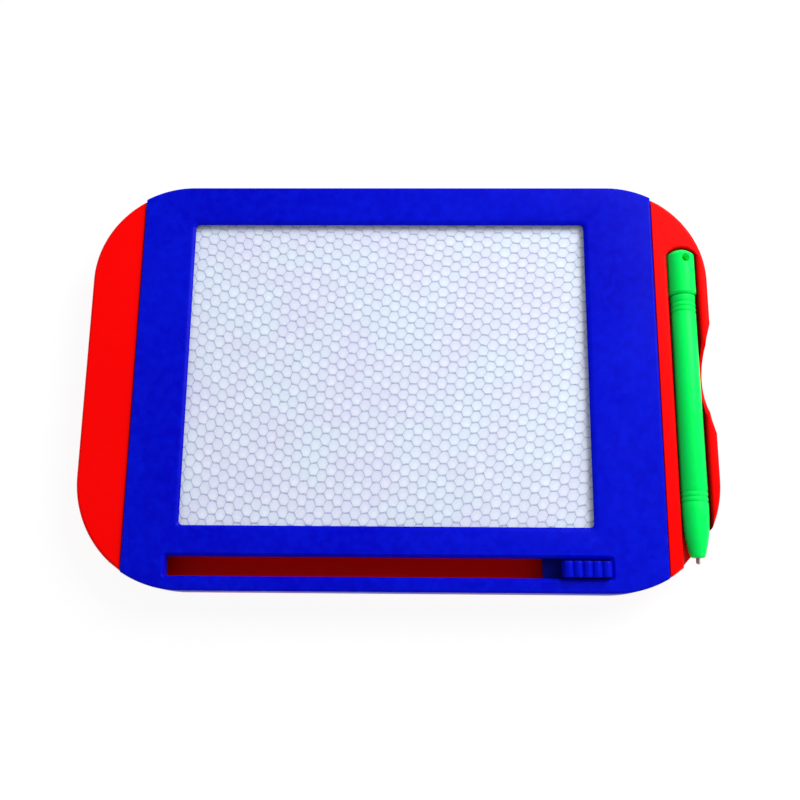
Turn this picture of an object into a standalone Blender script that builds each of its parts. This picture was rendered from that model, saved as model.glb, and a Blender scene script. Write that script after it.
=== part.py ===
"""Child's magnetic drawing board, as an assembly of its separate pieces.

Metres, +Z up. The board lies on its back. The origin is under the middle of the board, on the
surface that it rests on. +X points to the pen and +Y to the board's top edge.
"""

import math

import bmesh
import bpy
from mathutils import Matrix, Vector

# Clearances and drawing steps
FIT_GAP = 0.0003            # between two pieces that touch
RUN_GAP = 0.0004            # between two pieces that slide past each other
OVERRUN = 0.0010            # how far a cutter passes the face that it opens
CORNER_STEPS = 11           # segments in each large corner of the board
SMALL_STEPS = 3             # segments in each small corner
DOME_STEPS = 6              # segments across the trough's domed end
SMOOTH_ANGLE = math.radians(35)

# Board outline
TOP_CORNER_RADIUS = 0.0320
BOTTOM_CORNER_RADIUS = 0.0350
NOTCH_LENGTH = 0.0360       # finger notch in the right side
NOTCH_DEPTH = 0.0028
NOTCH_STEPS = 8

# Back shell
LEFT_END_LENGTH = 0.0160    # red end beside the frame, on the left
RIGHT_END_LENGTH = 0.0174   # red end with the pen trough, on the right
END_HEIGHT = 0.0130
END_EDGE_RADIUS = 0.0012
BASE_EDGE_WIDTH = 0.0010    # the sides slope in towards the resting surface
BASE_EDGE_HEIGHT = 0.0038
SHELL_FLOOR = 0.0020
SHELL_WALL = 0.0018
SHELF_WIDTH = 0.0015        # shelf that carries the frame's two sides
END_RIB_THICKNESS = 0.0014
END_RIB_SPACING = 0.0250
END_RIB_RECESS = 0.0015     # the ribs stop this far above the resting surface
RAIL_WIDTH = 0.0020
RAIL_OVERHANG = 0.0020      # length of rail past the bar at both ends of its travel

# Front frame
FRAME_HEIGHT = 0.0140       # resting surface to the frame's face
FRAME_PLATE = 0.0015
FRAME_SKIRT_DEPTH = 0.0090  # face to the skirt's lower edge
FRAME_SKIRT_WALL = 0.0016
FRAME_EDGE_RADIUS = 0.0008
WINDOW_LENGTH = 0.1279
WINDOW_WIDTH = 0.0995
WINDOW_LEFT_MARGIN = 0.0170  # frame's left side to the window
WINDOW_RIGHT_MARGIN = 0.0222
WINDOW_TOP_MARGIN = 0.0130
WINDOW_SLOT_BRIDGE = 0.00935  # between the window and the slot
WINDOW_CORNER_RADIUS = 0.0012
WINDOW_LIP_WIDTH = 0.0015
WINDOW_LIP_DEPTH = 0.0012
SCREEN_RIM_WALL = 0.0012
SCREEN_RIM_DEPTH = 0.0029   # below the plate
SLOT_WIDTH = 0.00615
SLOT_LEFT_MARGIN = 0.01355    # frame's left side to the slot
SLOT_RIGHT_MARGIN = 0.0173
SLOT_BOTTOM_MARGIN = 0.0045
SLOT_CORNER_RADIUS = 0.0006
SLOT_BEVEL = 0.0008
SLOT_RIM_WALL = 0.0010
SLOT_RIM_DEPTH = 0.0034     # below the plate

# Screws and what they join
SCREW_HEAD_RADIUS = 0.0026
SCREW_HEAD_HEIGHT = 0.0015
SCREW_SHANK_RADIUS = 0.0013
SCREW_LENGTH = 0.0095       # whole screw
SCREW_POINT_LENGTH = 0.0015
SCREW_TIP_ROOM = 0.0006     # blind end of the post's hole past the screw's point
SCREW_SIDE_INSET = 0.0073   # frame's side to the side screws
SCREW_CORNER_INSET = 0.0170  # frame's top edge to the upper side screws
SCREW_LOWER_INSET = 0.0222  # board's bottom edge to the lower side screws
SCREW_TOP_INSET = 0.0050    # board's top edge to the top screws
SCREW_TOP_SPACING = 0.0640
SCREW_SIDES = 12
POST_WALL = 0.0014
SLEEVE_WALL = 0.0014
SLEEVE_HEIGHT = 0.0024      # above the floor
SEAT_THICKNESS = 0.0018     # under the screw's head

# Drawing screen
SCREEN_OVERLAP = 0.0030     # how far the screen reaches under the frame
TAPE_THICKNESS = 0.0002
TAPE_SETBACK = 0.0006       # window edge to the tape
FILM_THICKNESS = 0.0004
CORE_THICKNESS = 0.0015
BACK_SHEET_THICKNESS = 0.0004
SEAL_WIDTH = 0.0014
CELL_PITCH = 0.0073         # one modelled cell for each two by two real ones
CELL_WALL = 0.0006

# Eraser
KNOB_LENGTH = 0.0144
KNOB_LOWER_GAP = 0.0003     # slot's lower side to the knob, which rests against it
KNOB_UPPER_GAP = 0.0010     # knob to the slot's upper side
KNOB_RISE = 0.0030          # above the frame's face
KNOB_RIB_COUNT = 5
KNOB_RIB_HEIGHT = 0.0011
KNOB_RIB_STEPS = 5
KNOB_RIB_POWER = 0.7        # below one, a rib's crown is flatter than a sine wave
KNOB_REST_GAP = 0.0005      # knob to the slot's right end, at rest
PRONG_LENGTH = 0.0060
PRONG_WIDTH = 0.0020
PRONG_DEPTH = 0.0022
FOOT_LENGTH = 0.0256
FOOT_OVERLAP = 0.00095       # past each side of the slot
FOOT_THICKNESS = 0.0015
FOOT_CHAMFER = 0.0030
FOOT_GAP = 0.0005           # slot's rim to the foot plate below it
BAR_WIDTH = 0.0100
BAR_HEIGHT = 0.0030
BAR_TOP_REACH = 0.0035      # past the window's top edge
GROOVE_DEPTH = 0.0008       # grooves under the bar that straddle the rails
RAIL_EDGE_SETBACK = 0.0032  # end of the bar to the middle of the upper rail
LOWER_RAIL_GAP = 0.0014     # foot block to the middle of the lower rail
MAGNET_WIDTH = 0.0060
MAGNET_THICKNESS = 0.0015
MAGNET_PROUD = 0.0005       # above the bar
MAGNET_OVERLAP = 0.0013     # past the window's top and bottom edges

# Pen and its trough
TROUGH_FROM_RIGHT = 0.0080  # board's right edge to the pen's axis
PEN_AXIS_HEIGHT = 0.0108
PEN_FROM_TOP = 0.0212       # board's top edge to the end of the cap
PEN_SIDES = 20
CAP_RADIUS = 0.00445
CAP_LENGTH = 0.0158
CAP_DOME_HEIGHT = 0.0021    # the cap's end is a part of a sphere
CAP_SHOULDER = 0.0006
CAP_SHOULDER_SHARE = 0.7    # of the shoulder's length, how far it draws in
CAP_PLUG_LENGTH = 0.0080
CORD_HOLE_RADIUS = 0.00105
CORD_HOLE_FROM_END = 0.0038
CORD_HOLE_SIDES = 12
CORD_HOLE_TURN = math.radians(12)
BARREL_LENGTH = 0.0840
BARREL_BACK_RADIUS = 0.00395
BARREL_GRIP_RADIUS = 0.00415
BARREL_BORE_RADIUS = 0.0026
NOSE_LENGTH = 0.0130
NOSE_RADIUS = 0.0022
NOSE_EDGE_RADIUS = 0.0007
NOSE_SHOULDER_SHARES = (0.25, 0.17)  # of the nose's length and of its taper, at its shoulder
NOSE_RIM_SHARE = 0.13       # of the taper, left over where the nose's edge begins
NOSE_EDGE_SHARES = (0.4, 0.3)  # of the edge's radius, inwards and lengthwise, at its middle
RING_DEPTH = 0.00025
RING_WIDTH = 0.0006
RING_PITCH = 0.0016
RING_COUNT = 3
BACK_RINGS_FROM_END = 0.0020  # barrel's back end to its first ring
GRIP_RINGS_FROM_NOSE = 0.0036  # last grip ring to the nose cone
TIP_RADIUS = 0.00065
TIP_REACH = 0.0020          # out of the nose
TIP_HEAD_LENGTH = 0.0010
PEN_MAGNET_LENGTH = 0.0060
BORE_END_FROM_NOSE = 0.0015  # bore's front end past the start of the nose cone
TROUGH_WALL = 0.0015
TROUGH_LIP_RADIUS = 0.0010
TROUGH_LEVEL_SHARES = [(0.30, -1.0), (0.62, -0.82), (0.87, -0.50), (1.0, 0.0)]  # across, up
HULL_LEVEL_SHARES = [(0.80, -0.72), (0.40, -1.0)]  # across, up
HULL_OUTER_SHARE = 0.2      # of the hull's reach, below the axis, where its outer side starts
SCOOP_LENGTH = 0.0250       # finger scoop through the trough's outer wall, along the rim
SCOOP_DEPTH = 0.0042
SCOOP_SIDES = 32

# Sizes and places that follow from the sizes above
FRAME_LENGTH = WINDOW_LEFT_MARGIN + WINDOW_LENGTH + WINDOW_RIGHT_MARGIN
BOARD_LENGTH = LEFT_END_LENGTH + FRAME_LENGTH + RIGHT_END_LENGTH
BOARD_WIDTH = WINDOW_TOP_MARGIN + WINDOW_WIDTH + WINDOW_SLOT_BRIDGE + SLOT_WIDTH + SLOT_BOTTOM_MARGIN
HALF_LENGTH = BOARD_LENGTH / 2
HALF_WIDTH = BOARD_WIDTH / 2
FRAME_LEFT = -HALF_LENGTH + LEFT_END_LENGTH
FRAME_RIGHT = HALF_LENGTH - RIGHT_END_LENGTH
SKIRT_BOTTOM = FRAME_HEIGHT - FRAME_SKIRT_DEPTH
PARTING_HEIGHT = SKIRT_BOTTOM - FIT_GAP
PLATE_UNDERSIDE = FRAME_HEIGHT - FRAME_PLATE
WINDOW_X = FRAME_LEFT + WINDOW_LEFT_MARGIN + WINDOW_LENGTH / 2
WINDOW_Y = HALF_WIDTH - WINDOW_TOP_MARGIN - WINDOW_WIDTH / 2
WINDOW_TOP = WINDOW_Y + WINDOW_WIDTH / 2
WINDOW_BOTTOM = WINDOW_Y - WINDOW_WIDTH / 2
SCREEN_LENGTH = WINDOW_LENGTH + 2 * SCREEN_OVERLAP
SCREEN_WIDTH = WINDOW_WIDTH + 2 * SCREEN_OVERLAP
SLOT_LENGTH = FRAME_LENGTH - SLOT_LEFT_MARGIN - SLOT_RIGHT_MARGIN
SLOT_X = FRAME_LEFT + SLOT_LEFT_MARGIN + SLOT_LENGTH / 2
SLOT_Y = -HALF_WIDTH + SLOT_BOTTOM_MARGIN + SLOT_WIDTH / 2
SLOT_RIGHT = SLOT_X + SLOT_LENGTH / 2
KNOB_X = SLOT_RIGHT - KNOB_REST_GAP - KNOB_LENGTH / 2
ERASER_TRAVEL = SLOT_LENGTH - KNOB_LENGTH - KNOB_REST_GAP - FIT_GAP
KNOB_WIDTH = SLOT_WIDTH - KNOB_LOWER_GAP - KNOB_UPPER_GAP
KNOB_Y = SLOT_Y + (KNOB_LOWER_GAP - KNOB_UPPER_GAP) / 2
FOOT_WIDTH = SLOT_WIDTH + 2 * FOOT_OVERLAP
FOOT_TOP = PLATE_UNDERSIDE - SLOT_RIM_DEPTH - FOOT_GAP
TAPE_TOP = PLATE_UNDERSIDE - FIT_GAP
FILM_TOP = TAPE_TOP - TAPE_THICKNESS - FIT_GAP
CORE_TOP = FILM_TOP - FILM_THICKNESS - FIT_GAP
BACK_SHEET_TOP = CORE_TOP - CORE_THICKNESS - FIT_GAP
MAGNET_TOP = BACK_SHEET_TOP - BACK_SHEET_THICKNESS - RUN_GAP
BAR_TOP = MAGNET_TOP - MAGNET_PROUD
BAR_BOTTOM = BAR_TOP - BAR_HEIGHT
BAR_END_Y = WINDOW_TOP + BAR_TOP_REACH
RAIL_TOP = BAR_BOTTOM + GROOVE_DEPTH - FIT_GAP
UPPER_RAIL_Y = BAR_END_Y - RAIL_EDGE_SETBACK
LOWER_RAIL_Y = SLOT_Y + FOOT_WIDTH / 2 + LOWER_RAIL_GAP
SLEEVE_TOP = SHELL_FLOOR + SLEEVE_HEIGHT
SCREW_SEAT = SLEEVE_TOP - SEAT_THICKNESS
SCREW_HEAD_TOP = SCREW_SEAT - FIT_GAP
SCREW_BOTTOM = SCREW_HEAD_TOP - SCREW_HEAD_HEIGHT
SCREW_TIP = SCREW_BOTTOM + SCREW_LENGTH
SCREW_HOLE_RADIUS = SCREW_SHANK_RADIUS + FIT_GAP
HEAD_HOLE_RADIUS = SCREW_HEAD_RADIUS + FIT_GAP
POST_RADIUS = SCREW_HOLE_RADIUS + POST_WALL
POST_BOTTOM = SLEEVE_TOP + FIT_GAP
SLEEVE_RADIUS = HEAD_HOLE_RADIUS + SLEEVE_WALL
TROUGH_X = HALF_LENGTH - TROUGH_FROM_RIGHT
TROUGH_RADIUS = CAP_RADIUS + FIT_GAP
DOME_RADIUS = (CAP_RADIUS ** 2 + CAP_DOME_HEIGHT ** 2) / (2 * CAP_DOME_HEIGHT)
PEN_END_Y = HALF_WIDTH - PEN_FROM_TOP
PEN_MAGNET_RADIUS = BARREL_BORE_RADIUS - RUN_GAP
TIP_HEAD_RADIUS = BARREL_BORE_RADIUS - 2 * FIT_GAP
TROUGH_END_Y = PEN_END_Y + FIT_GAP
NOTCH_Y = (BOTTOM_CORNER_RADIUS - TOP_CORNER_RADIUS) / 2  # middle of the side between the corners

RED = (0.98, 0.003, 0.002)
BLUE = (0.001, 0.006, 0.54)
GREEN = (0.002, 0.84, 0.10)
WHITE = (0.76, 0.79, 0.98)
GREY = (0.32, 0.33, 0.34)
DARK = (0.03, 0.03, 0.035)


def clear_scene():
    """Removes whatever the file starts with."""
    for item in list(bpy.data.objects):
        bpy.data.objects.remove(item)


def make_material(name, colour, roughness, metallic=0.0, alpha=1.0):
    """One Principled material."""
    material = bpy.data.materials.new(name)
    material.use_nodes = True
    shader = material.node_tree.nodes["Principled BSDF"]
    shader.inputs["Base Color"].default_value = (*colour, 1.0)
    shader.inputs["Roughness"].default_value = roughness
    shader.inputs["Metallic"].default_value = metallic
    shader.inputs["Alpha"].default_value = alpha
    material.diffuse_color = (*colour, alpha)
    return material


# Plan outlines: lists of (x, y), anticlockwise seen from above

def arc(centre_x, centre_y, radius, start, end, steps):
    """Points on an arc from angle start to angle end, both ends included."""
    angles = [start + (end - start) * step / steps for step in range(steps + 1)]
    return [(centre_x + radius * math.cos(a), centre_y + radius * math.sin(a)) for a in angles]


def rounded_rectangle(centre_x, centre_y, length, width, radius=0.0):
    """A rectangle with rounded corners, or with square ones where the radius is nothing."""
    if radius <= 0:
        radius, steps = 0.0, 0
    else:
        steps = SMALL_STEPS
    half_x, half_y = length / 2 - radius, width / 2 - radius
    points = []
    for turn, (side_x, side_y) in enumerate(((1, -1), (1, 1), (-1, 1), (-1, -1))):
        x, y = centre_x + side_x * half_x, centre_y + side_y * half_y
        start = (turn - 1) * math.pi / 2
        points += arc(x, y, radius, start, start + math.pi / 2, steps) if steps else [(x, y)]
    return points


def corner_arc(side_x, side_y, inset, limit_x):
    """The outline's corner arc, from its outer end at limit_x to the top or bottom edge."""
    radius = TOP_CORNER_RADIUS if side_y > 0 else BOTTOM_CORNER_RADIUS
    centre_x, centre_y = HALF_LENGTH - radius, HALF_WIDTH - radius
    share = (abs(limit_x) - centre_x) / (radius - inset)
    start = math.acos(max(0.0, min(1.0, share)))
    points = arc(centre_x, centre_y, radius - inset, start, math.pi / 2, CORNER_STEPS)
    return [(side_x * x, side_y * y) for x, y in points]


def band_outline(inset, left_x, right_x):
    """The board's outline drawn in by inset and cut off straight at left_x and right_x."""
    points = corner_arc(1, -1, inset, right_x)[::-1]
    points += corner_arc(1, 1, inset, right_x)
    points += corner_arc(-1, 1, inset, left_x)[::-1]
    points += corner_arc(-1, -1, inset, left_x)
    return points


def notch_points(inset):
    """The finger notch, from its lower end to its upper end, as a shallow arc."""
    half = NOTCH_LENGTH / 2
    radius = (half ** 2 + NOTCH_DEPTH ** 2) / (2 * NOTCH_DEPTH)
    centre_x = HALF_LENGTH - NOTCH_DEPTH + radius
    reach = math.acos((centre_x - HALF_LENGTH + inset) / (radius + inset))
    return arc(centre_x, NOTCH_Y, radius + inset, math.pi + reach, math.pi - reach, NOTCH_STEPS)


def board_outline(inset):
    """The whole outline with the finger notch, drawn in by inset."""
    edge = HALF_LENGTH - inset
    points = corner_arc(1, -1, inset, edge)[::-1] + notch_points(inset)
    points += corner_arc(1, 1, inset, edge) + corner_arc(-1, 1, inset, edge)[::-1]
    return points + corner_arc(-1, -1, inset, edge)


def left_end_outline(inset, limit_x):
    """The D-shaped left end of the board, from its rounded side to limit_x."""
    edge = HALF_LENGTH - inset
    upper = [p for p in corner_arc(-1, 1, inset, edge)[::-1] if p[0] < limit_x]
    lower = [p for p in corner_arc(-1, -1, inset, edge) if p[0] < limit_x]
    top_y = corner_arc(-1, 1, inset, limit_x)[0][1]
    bottom_y = corner_arc(-1, -1, inset, limit_x)[0][1]
    return [(limit_x, top_y)] + upper + lower + [(limit_x, bottom_y)]


def right_end_outline(inset, limit_x):
    """The right end of the board with its notch, from limit_x to its rounded side."""
    edge = HALF_LENGTH - inset
    lower = [p for p in corner_arc(1, -1, inset, edge)[::-1] if p[0] > limit_x]
    upper = [p for p in corner_arc(1, 1, inset, edge) if p[0] > limit_x]
    top_y = corner_arc(1, 1, inset, limit_x)[0][1]
    bottom_y = corner_arc(1, -1, inset, limit_x)[0][1]
    return [(limit_x, bottom_y)] + lower + notch_points(inset) + upper + [(limit_x, top_y)]


# Solids: each function adds one closed body to a bmesh

def add_loft(bm, rings):
    """Joins rings of equal length, from the lowest to the highest, and closes both ends."""
    loops = [[bm.verts.new(point) for point in ring] for ring in rings]
    for low, high in zip(loops, loops[1:]):
        for i in range(len(low)):
            j = (i + 1) % len(low)
            bm.faces.new((low[i], low[j], high[j], high[i]))
    bm.faces.new(loops[0][::-1])
    bm.faces.new(loops[-1])


def add_prism(bm, outline, bottom, top):
    """An outline raised straight up."""
    add_loft(bm, [[(x, y, bottom) for x, y in outline], [(x, y, top) for x, y in outline]])


def add_box(bm, low, high):
    """A box between two opposite corners."""
    outline = [(low[0], low[1]), (high[0], low[1]), (high[0], high[1]), (low[0], high[1])]
    add_prism(bm, outline, low[2], high[2])


def add_turned(bm, profile, place, sides, open_ends=True):
    """Spins a profile of (radius, height) round the local Z axis. A closed profile has a bore."""
    rings = []
    for radius, height in profile:
        turns = range(sides if radius > 0 else 1)
        angles = [2 * math.pi * (turn + 0.5) / sides for turn in turns]
        points = [place @ Vector((radius * math.cos(a), radius * math.sin(a), height)) for a in angles]
        rings.append([bm.verts.new(point) for point in points])
    pairs = list(zip(rings, rings[1:]))
    if not open_ends:
        pairs.append((rings[-1], rings[0]))
    for low, high in pairs:
        for i in range(sides):
            j = (i + 1) % sides
            corners = [low[i % len(low)], low[j % len(low)], high[j % len(high)], high[i % len(high)]]
            face = list(dict.fromkeys(corners))
            if len(face) > 2:
                bm.faces.new(face)


def add_cylinder(bm, x, y, radius, bottom, top, sides):
    """An upright cylinder."""
    profile = [(0, bottom), (radius, bottom), (radius, top), (0, top)]
    add_turned(bm, profile, Matrix.Translation((x, y, 0)), sides)


def finish_object(bm, name, material=None, origin=(0, 0, 0)):
    """Makes an object of a bmesh, with its faces outwards and its origin where it moves from."""
    bmesh.ops.recalc_face_normals(bm, faces=bm.faces)
    bmesh.ops.translate(bm, verts=bm.verts, vec=-Vector(origin))
    mesh = bpy.data.meshes.new(name)
    bm.to_mesh(mesh)
    bm.free()
    mesh.shade_smooth()
    mesh.set_sharp_from_angle(angle=SMOOTH_ANGLE)
    item = bpy.data.objects.new(name, mesh)
    item.location = origin
    bpy.context.scene.collection.objects.link(item)
    if material:
        mesh.materials.append(material)
    return item


def finish_tool(bm, name):
    """Makes a cutter or other helper that is no piece of the board."""
    item = finish_object(bm, name)
    item.hide_render = True
    item.display_type = "WIRE"
    return item


def combine(target, operation, tool):
    """Adds a tool to a solid, or takes it away."""
    modifier = target.modifiers.new(tool.name, "BOOLEAN")
    modifier.operation = operation
    modifier.solver = "EXACT"
    modifier.object = tool


def cut(target, tool):
    combine(target, "DIFFERENCE", tool)


def join(target, tool):
    combine(target, "UNION", tool)


# Screw places

def screw_places():
    """Three screws down each side of the frame and two along its top edge."""
    upper_y = HALF_WIDTH - SCREW_CORNER_INSET
    lower_y = -HALF_WIDTH + SCREW_LOWER_INSET
    places = []
    for x in (FRAME_LEFT + SCREW_SIDE_INSET, FRAME_RIGHT - SCREW_SIDE_INSET):
        places += [(x, lower_y), (x, (lower_y + upper_y) / 2), (x, upper_y)]
    for side in (-1, 1):
        places.append((WINDOW_X + side * SCREW_TOP_SPACING / 2, HALF_WIDTH - SCREW_TOP_INSET))
    return places


# Back shell

def shell_ring(inset, height):
    return [(x, y, height) for x, y in board_outline(inset)]


def frame_bay_cutter():
    """Opens the middle of the shell, above the parting line, for the front frame."""
    bm = bmesh.new()
    low = (FRAME_LEFT - FIT_GAP, -HALF_WIDTH - OVERRUN, PARTING_HEIGHT)
    high = (FRAME_RIGHT + FIT_GAP, HALF_WIDTH + OVERRUN, END_HEIGHT + OVERRUN)
    add_box(bm, low, high)
    return finish_tool(bm, "frame_bay_cutter")


def tray_features():
    """What stands on the tray's floor: two slide rails and the sleeves round the screws."""
    bm = bmesh.new()
    left_x = KNOB_X - ERASER_TRAVEL - BAR_WIDTH / 2 - RAIL_OVERHANG
    right_x = KNOB_X + BAR_WIDTH / 2 + RAIL_OVERHANG
    for y in (LOWER_RAIL_Y, UPPER_RAIL_Y):
        low = (left_x, y - RAIL_WIDTH / 2, SHELL_FLOOR - OVERRUN)
        add_box(bm, low, (right_x, y + RAIL_WIDTH / 2, RAIL_TOP))
    for x, y in screw_places():
        add_cylinder(bm, x, y, SLEEVE_RADIUS, SHELL_FLOOR - OVERRUN, SLEEVE_TOP, SCREW_SIDES)
    return finish_tool(bm, "tray_features")


def tray_cutter():
    """Hollows the tray behind the screen and leaves its rails and sleeves standing."""
    bm = bmesh.new()
    outline = band_outline(SHELL_WALL, FRAME_LEFT + SHELF_WIDTH, FRAME_RIGHT - SHELF_WIDTH)
    add_prism(bm, outline, SHELL_FLOOR, PARTING_HEIGHT + OVERRUN)
    tool = finish_tool(bm, "tray_cutter")
    cut(tool, tray_features())
    return tool


def end_ribs():
    """Stiffening ribs across the hollow ends, seen from below."""
    bm = bmesh.new()
    reach = HALF_LENGTH + OVERRUN
    for row in (-1, 0, 1):
        y = row * END_RIB_SPACING
        low = (-reach, y - END_RIB_THICKNESS / 2, END_RIB_RECESS)
        add_box(bm, low, (reach, y + END_RIB_THICKNESS / 2, END_HEIGHT + OVERRUN))
    return finish_tool(bm, "end_ribs")


def trough_hull():
    """The trough's outer form, seen as a keel on the underside of the right end."""
    reach = TROUGH_RADIUS + TROUGH_WALL
    inner_x = FRAME_RIGHT
    top = END_HEIGHT + OVERRUN
    levels = [(TROUGH_X - x * reach, PEN_AXIS_HEIGHT + z * reach) for x, z in HULL_LEVEL_SHARES]
    section = [(inner_x, top), (inner_x, levels[0][1])] + levels
    section += [(2 * TROUGH_X - x, z) for x, z in reversed(levels)]
    section.append((TROUGH_X + reach, PEN_AXIS_HEIGHT - HULL_OUTER_SHARE * reach))
    section.append((TROUGH_X + reach, top))
    near = [(x, -HALF_WIDTH, z) for x, z in section]
    far = [(x, TROUGH_END_Y + TROUGH_WALL, z) for x, z in section]
    bm = bmesh.new()
    add_loft(bm, [near, far])
    return finish_tool(bm, "trough_hull")


def end_cutters(ribs):
    """Hollow the two raised ends from below."""
    top = END_HEIGHT - SHELL_WALL
    bm = bmesh.new()
    limit_x = FRAME_LEFT - FIT_GAP - SHELL_WALL
    add_prism(bm, left_end_outline(SHELL_WALL, limit_x), -OVERRUN, top)
    left = finish_tool(bm, "left_end_cutter")
    cut(left, ribs)
    bm = bmesh.new()
    limit_x = FRAME_RIGHT + FIT_GAP + SHELL_WALL
    add_prism(bm, right_end_outline(SHELL_WALL, limit_x), -OVERRUN, top)
    right = finish_tool(bm, "right_end_cutter")
    cut(right, trough_hull())
    cut(right, ribs)
    return left, right


def trough_ring(half_width, height):
    """The trough's plan at one height: domed round the cap, running out at the board's corner."""
    radius = max(DOME_RADIUS + FIT_GAP, half_width)
    reach = math.asin(half_width / radius)
    end_y = TROUGH_END_Y + max(0.0, half_width - TROUGH_RADIUS)
    open_y = -HALF_WIDTH - OVERRUN
    points = [(TROUGH_X - half_width, open_y), (TROUGH_X + half_width, open_y)]
    points += arc(TROUGH_X, end_y - radius, radius, math.pi / 2 - reach, math.pi / 2 + reach, DOME_STEPS)
    return [(x, y, height) for x, y in points]


def trough_cutter():
    """A round-bottomed trough with a rounded lip, for the pen."""
    rings = []
    for width, depth in TROUGH_LEVEL_SHARES:
        rings.append(trough_ring(width * TROUGH_RADIUS, PEN_AXIS_HEIGHT + depth * TROUGH_RADIUS))
    for step in range(SMALL_STEPS + 1):
        angle = step / SMALL_STEPS * math.pi / 2
        flare = TROUGH_LIP_RADIUS * (1 - math.cos(angle))
        height = END_HEIGHT - TROUGH_LIP_RADIUS * (1 - math.sin(angle))
        rings.append(trough_ring(TROUGH_RADIUS + flare, height))
    rings.append(trough_ring(TROUGH_RADIUS + TROUGH_LIP_RADIUS, END_HEIGHT + OVERRUN))
    bm = bmesh.new()
    add_loft(bm, rings)
    return finish_tool(bm, "trough_cutter")


def scoop_cutter():
    """Dips the trough's outer wall at the finger notch, so that a finger reaches the pen."""
    half = SCOOP_LENGTH / 2
    radius = (half ** 2 + SCOOP_DEPTH ** 2) / (2 * SCOOP_DEPTH)
    centre_z = END_HEIGHT - SCOOP_DEPTH + radius
    turn = Matrix.Rotation(math.pi / 2, 4, "Y")
    bm = bmesh.new()
    reach = TROUGH_FROM_RIGHT + OVERRUN
    profile = [(0, 0), (radius, 0), (radius, reach), (0, reach)]
    add_turned(bm, profile, Matrix.Translation((TROUGH_X, NOTCH_Y, centre_z)) @ turn, SCOOP_SIDES)
    return finish_tool(bm, "scoop_cutter")


def screw_hole_cutter():
    """Counterbores and clearance holes for the screws, from below."""
    bm = bmesh.new()
    for x, y in screw_places():
        profile = [(0, -OVERRUN), (HEAD_HOLE_RADIUS, -OVERRUN), (HEAD_HOLE_RADIUS, SCREW_SEAT),
                   (SCREW_HOLE_RADIUS, SCREW_SEAT), (SCREW_HOLE_RADIUS, SLEEVE_TOP + OVERRUN),
                   (0, SLEEVE_TOP + OVERRUN)]
        add_turned(bm, profile, Matrix.Translation((x, y, 0)), SCREW_SIDES)
    return finish_tool(bm, "screw_hole_cutter")


def build_back_shell(material):
    """Tray, raised ends, pen trough and finger scoop in one moulding."""
    rings = [shell_ring(BASE_EDGE_WIDTH, 0), shell_ring(0, BASE_EDGE_HEIGHT)]
    for step in range(SMALL_STEPS + 1):
        angle = step / SMALL_STEPS * math.pi / 2
        inset = END_EDGE_RADIUS * (1 - math.cos(angle))
        rings.append(shell_ring(inset, END_HEIGHT - END_EDGE_RADIUS * (1 - math.sin(angle))))
    bm = bmesh.new()
    add_loft(bm, rings)
    shell = finish_object(bm, "back_shell", material)
    cut(shell, frame_bay_cutter())
    cut(shell, tray_cutter())
    for tool in end_cutters(end_ribs()):
        cut(shell, tool)
    cut(shell, trough_cutter())
    cut(shell, scoop_cutter())
    cut(shell, screw_hole_cutter())
    return shell


# Front frame

def frame_ring(inset, height):
    return [(x, y, height) for x, y in band_outline(inset, FRAME_LEFT + inset, FRAME_RIGHT - inset)]


def frame_underside_features():
    """Rims under the plate: one round the screen and one round the eraser slot."""
    bm = bmesh.new()
    inner = (SCREEN_LENGTH + 2 * FIT_GAP, SCREEN_WIDTH + 2 * FIT_GAP)
    outer = [size + 2 * SCREEN_RIM_WALL for size in inner]
    add_prism(bm, rounded_rectangle(WINDOW_X, WINDOW_Y, *outer),
              PLATE_UNDERSIDE - SCREEN_RIM_DEPTH, PLATE_UNDERSIDE + OVERRUN)
    rims = finish_tool(bm, "screen_rim")
    bm = bmesh.new()
    add_prism(bm, rounded_rectangle(WINDOW_X, WINDOW_Y, *inner),
              PLATE_UNDERSIDE - SCREEN_RIM_DEPTH - OVERRUN, PLATE_UNDERSIDE)
    cut(rims, finish_tool(bm, "screen_rim_cutter"))
    bm = bmesh.new()
    rim_size = (SLOT_LENGTH + 2 * SLOT_RIM_WALL, SLOT_WIDTH + 2 * SLOT_RIM_WALL)
    add_prism(bm, rounded_rectangle(SLOT_X, SLOT_Y, *rim_size, SLOT_CORNER_RADIUS + SLOT_RIM_WALL),
              PLATE_UNDERSIDE - SLOT_RIM_DEPTH, PLATE_UNDERSIDE + OVERRUN)
    return rims, finish_tool(bm, "slot_rim")


def frame_cavity_cutter():
    """Hollows the frame from below and leaves its rims."""
    bm = bmesh.new()
    outline = band_outline(FRAME_SKIRT_WALL, FRAME_LEFT + FRAME_SKIRT_WALL, FRAME_RIGHT - FRAME_SKIRT_WALL)
    add_prism(bm, outline, SKIRT_BOTTOM - OVERRUN, PLATE_UNDERSIDE)
    tool = finish_tool(bm, "frame_cavity_cutter")
    for rim in frame_underside_features():
        cut(tool, rim)
    return tool


def screw_posts():
    """Posts under the frame that the screws bite into."""
    bm = bmesh.new()
    for x, y in screw_places():
        add_cylinder(bm, x, y, POST_RADIUS, POST_BOTTOM, PLATE_UNDERSIDE + OVERRUN / 2, SCREW_SIDES)
    return finish_tool(bm, "screw_posts")


def post_hole_cutter():
    bm = bmesh.new()
    top = SCREW_TIP + SCREW_TIP_ROOM
    for x, y in screw_places():
        add_cylinder(bm, x, y, SCREW_HOLE_RADIUS, POST_BOTTOM - OVERRUN, top, SCREW_SIDES)
    return finish_tool(bm, "post_hole_cutter")


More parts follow.
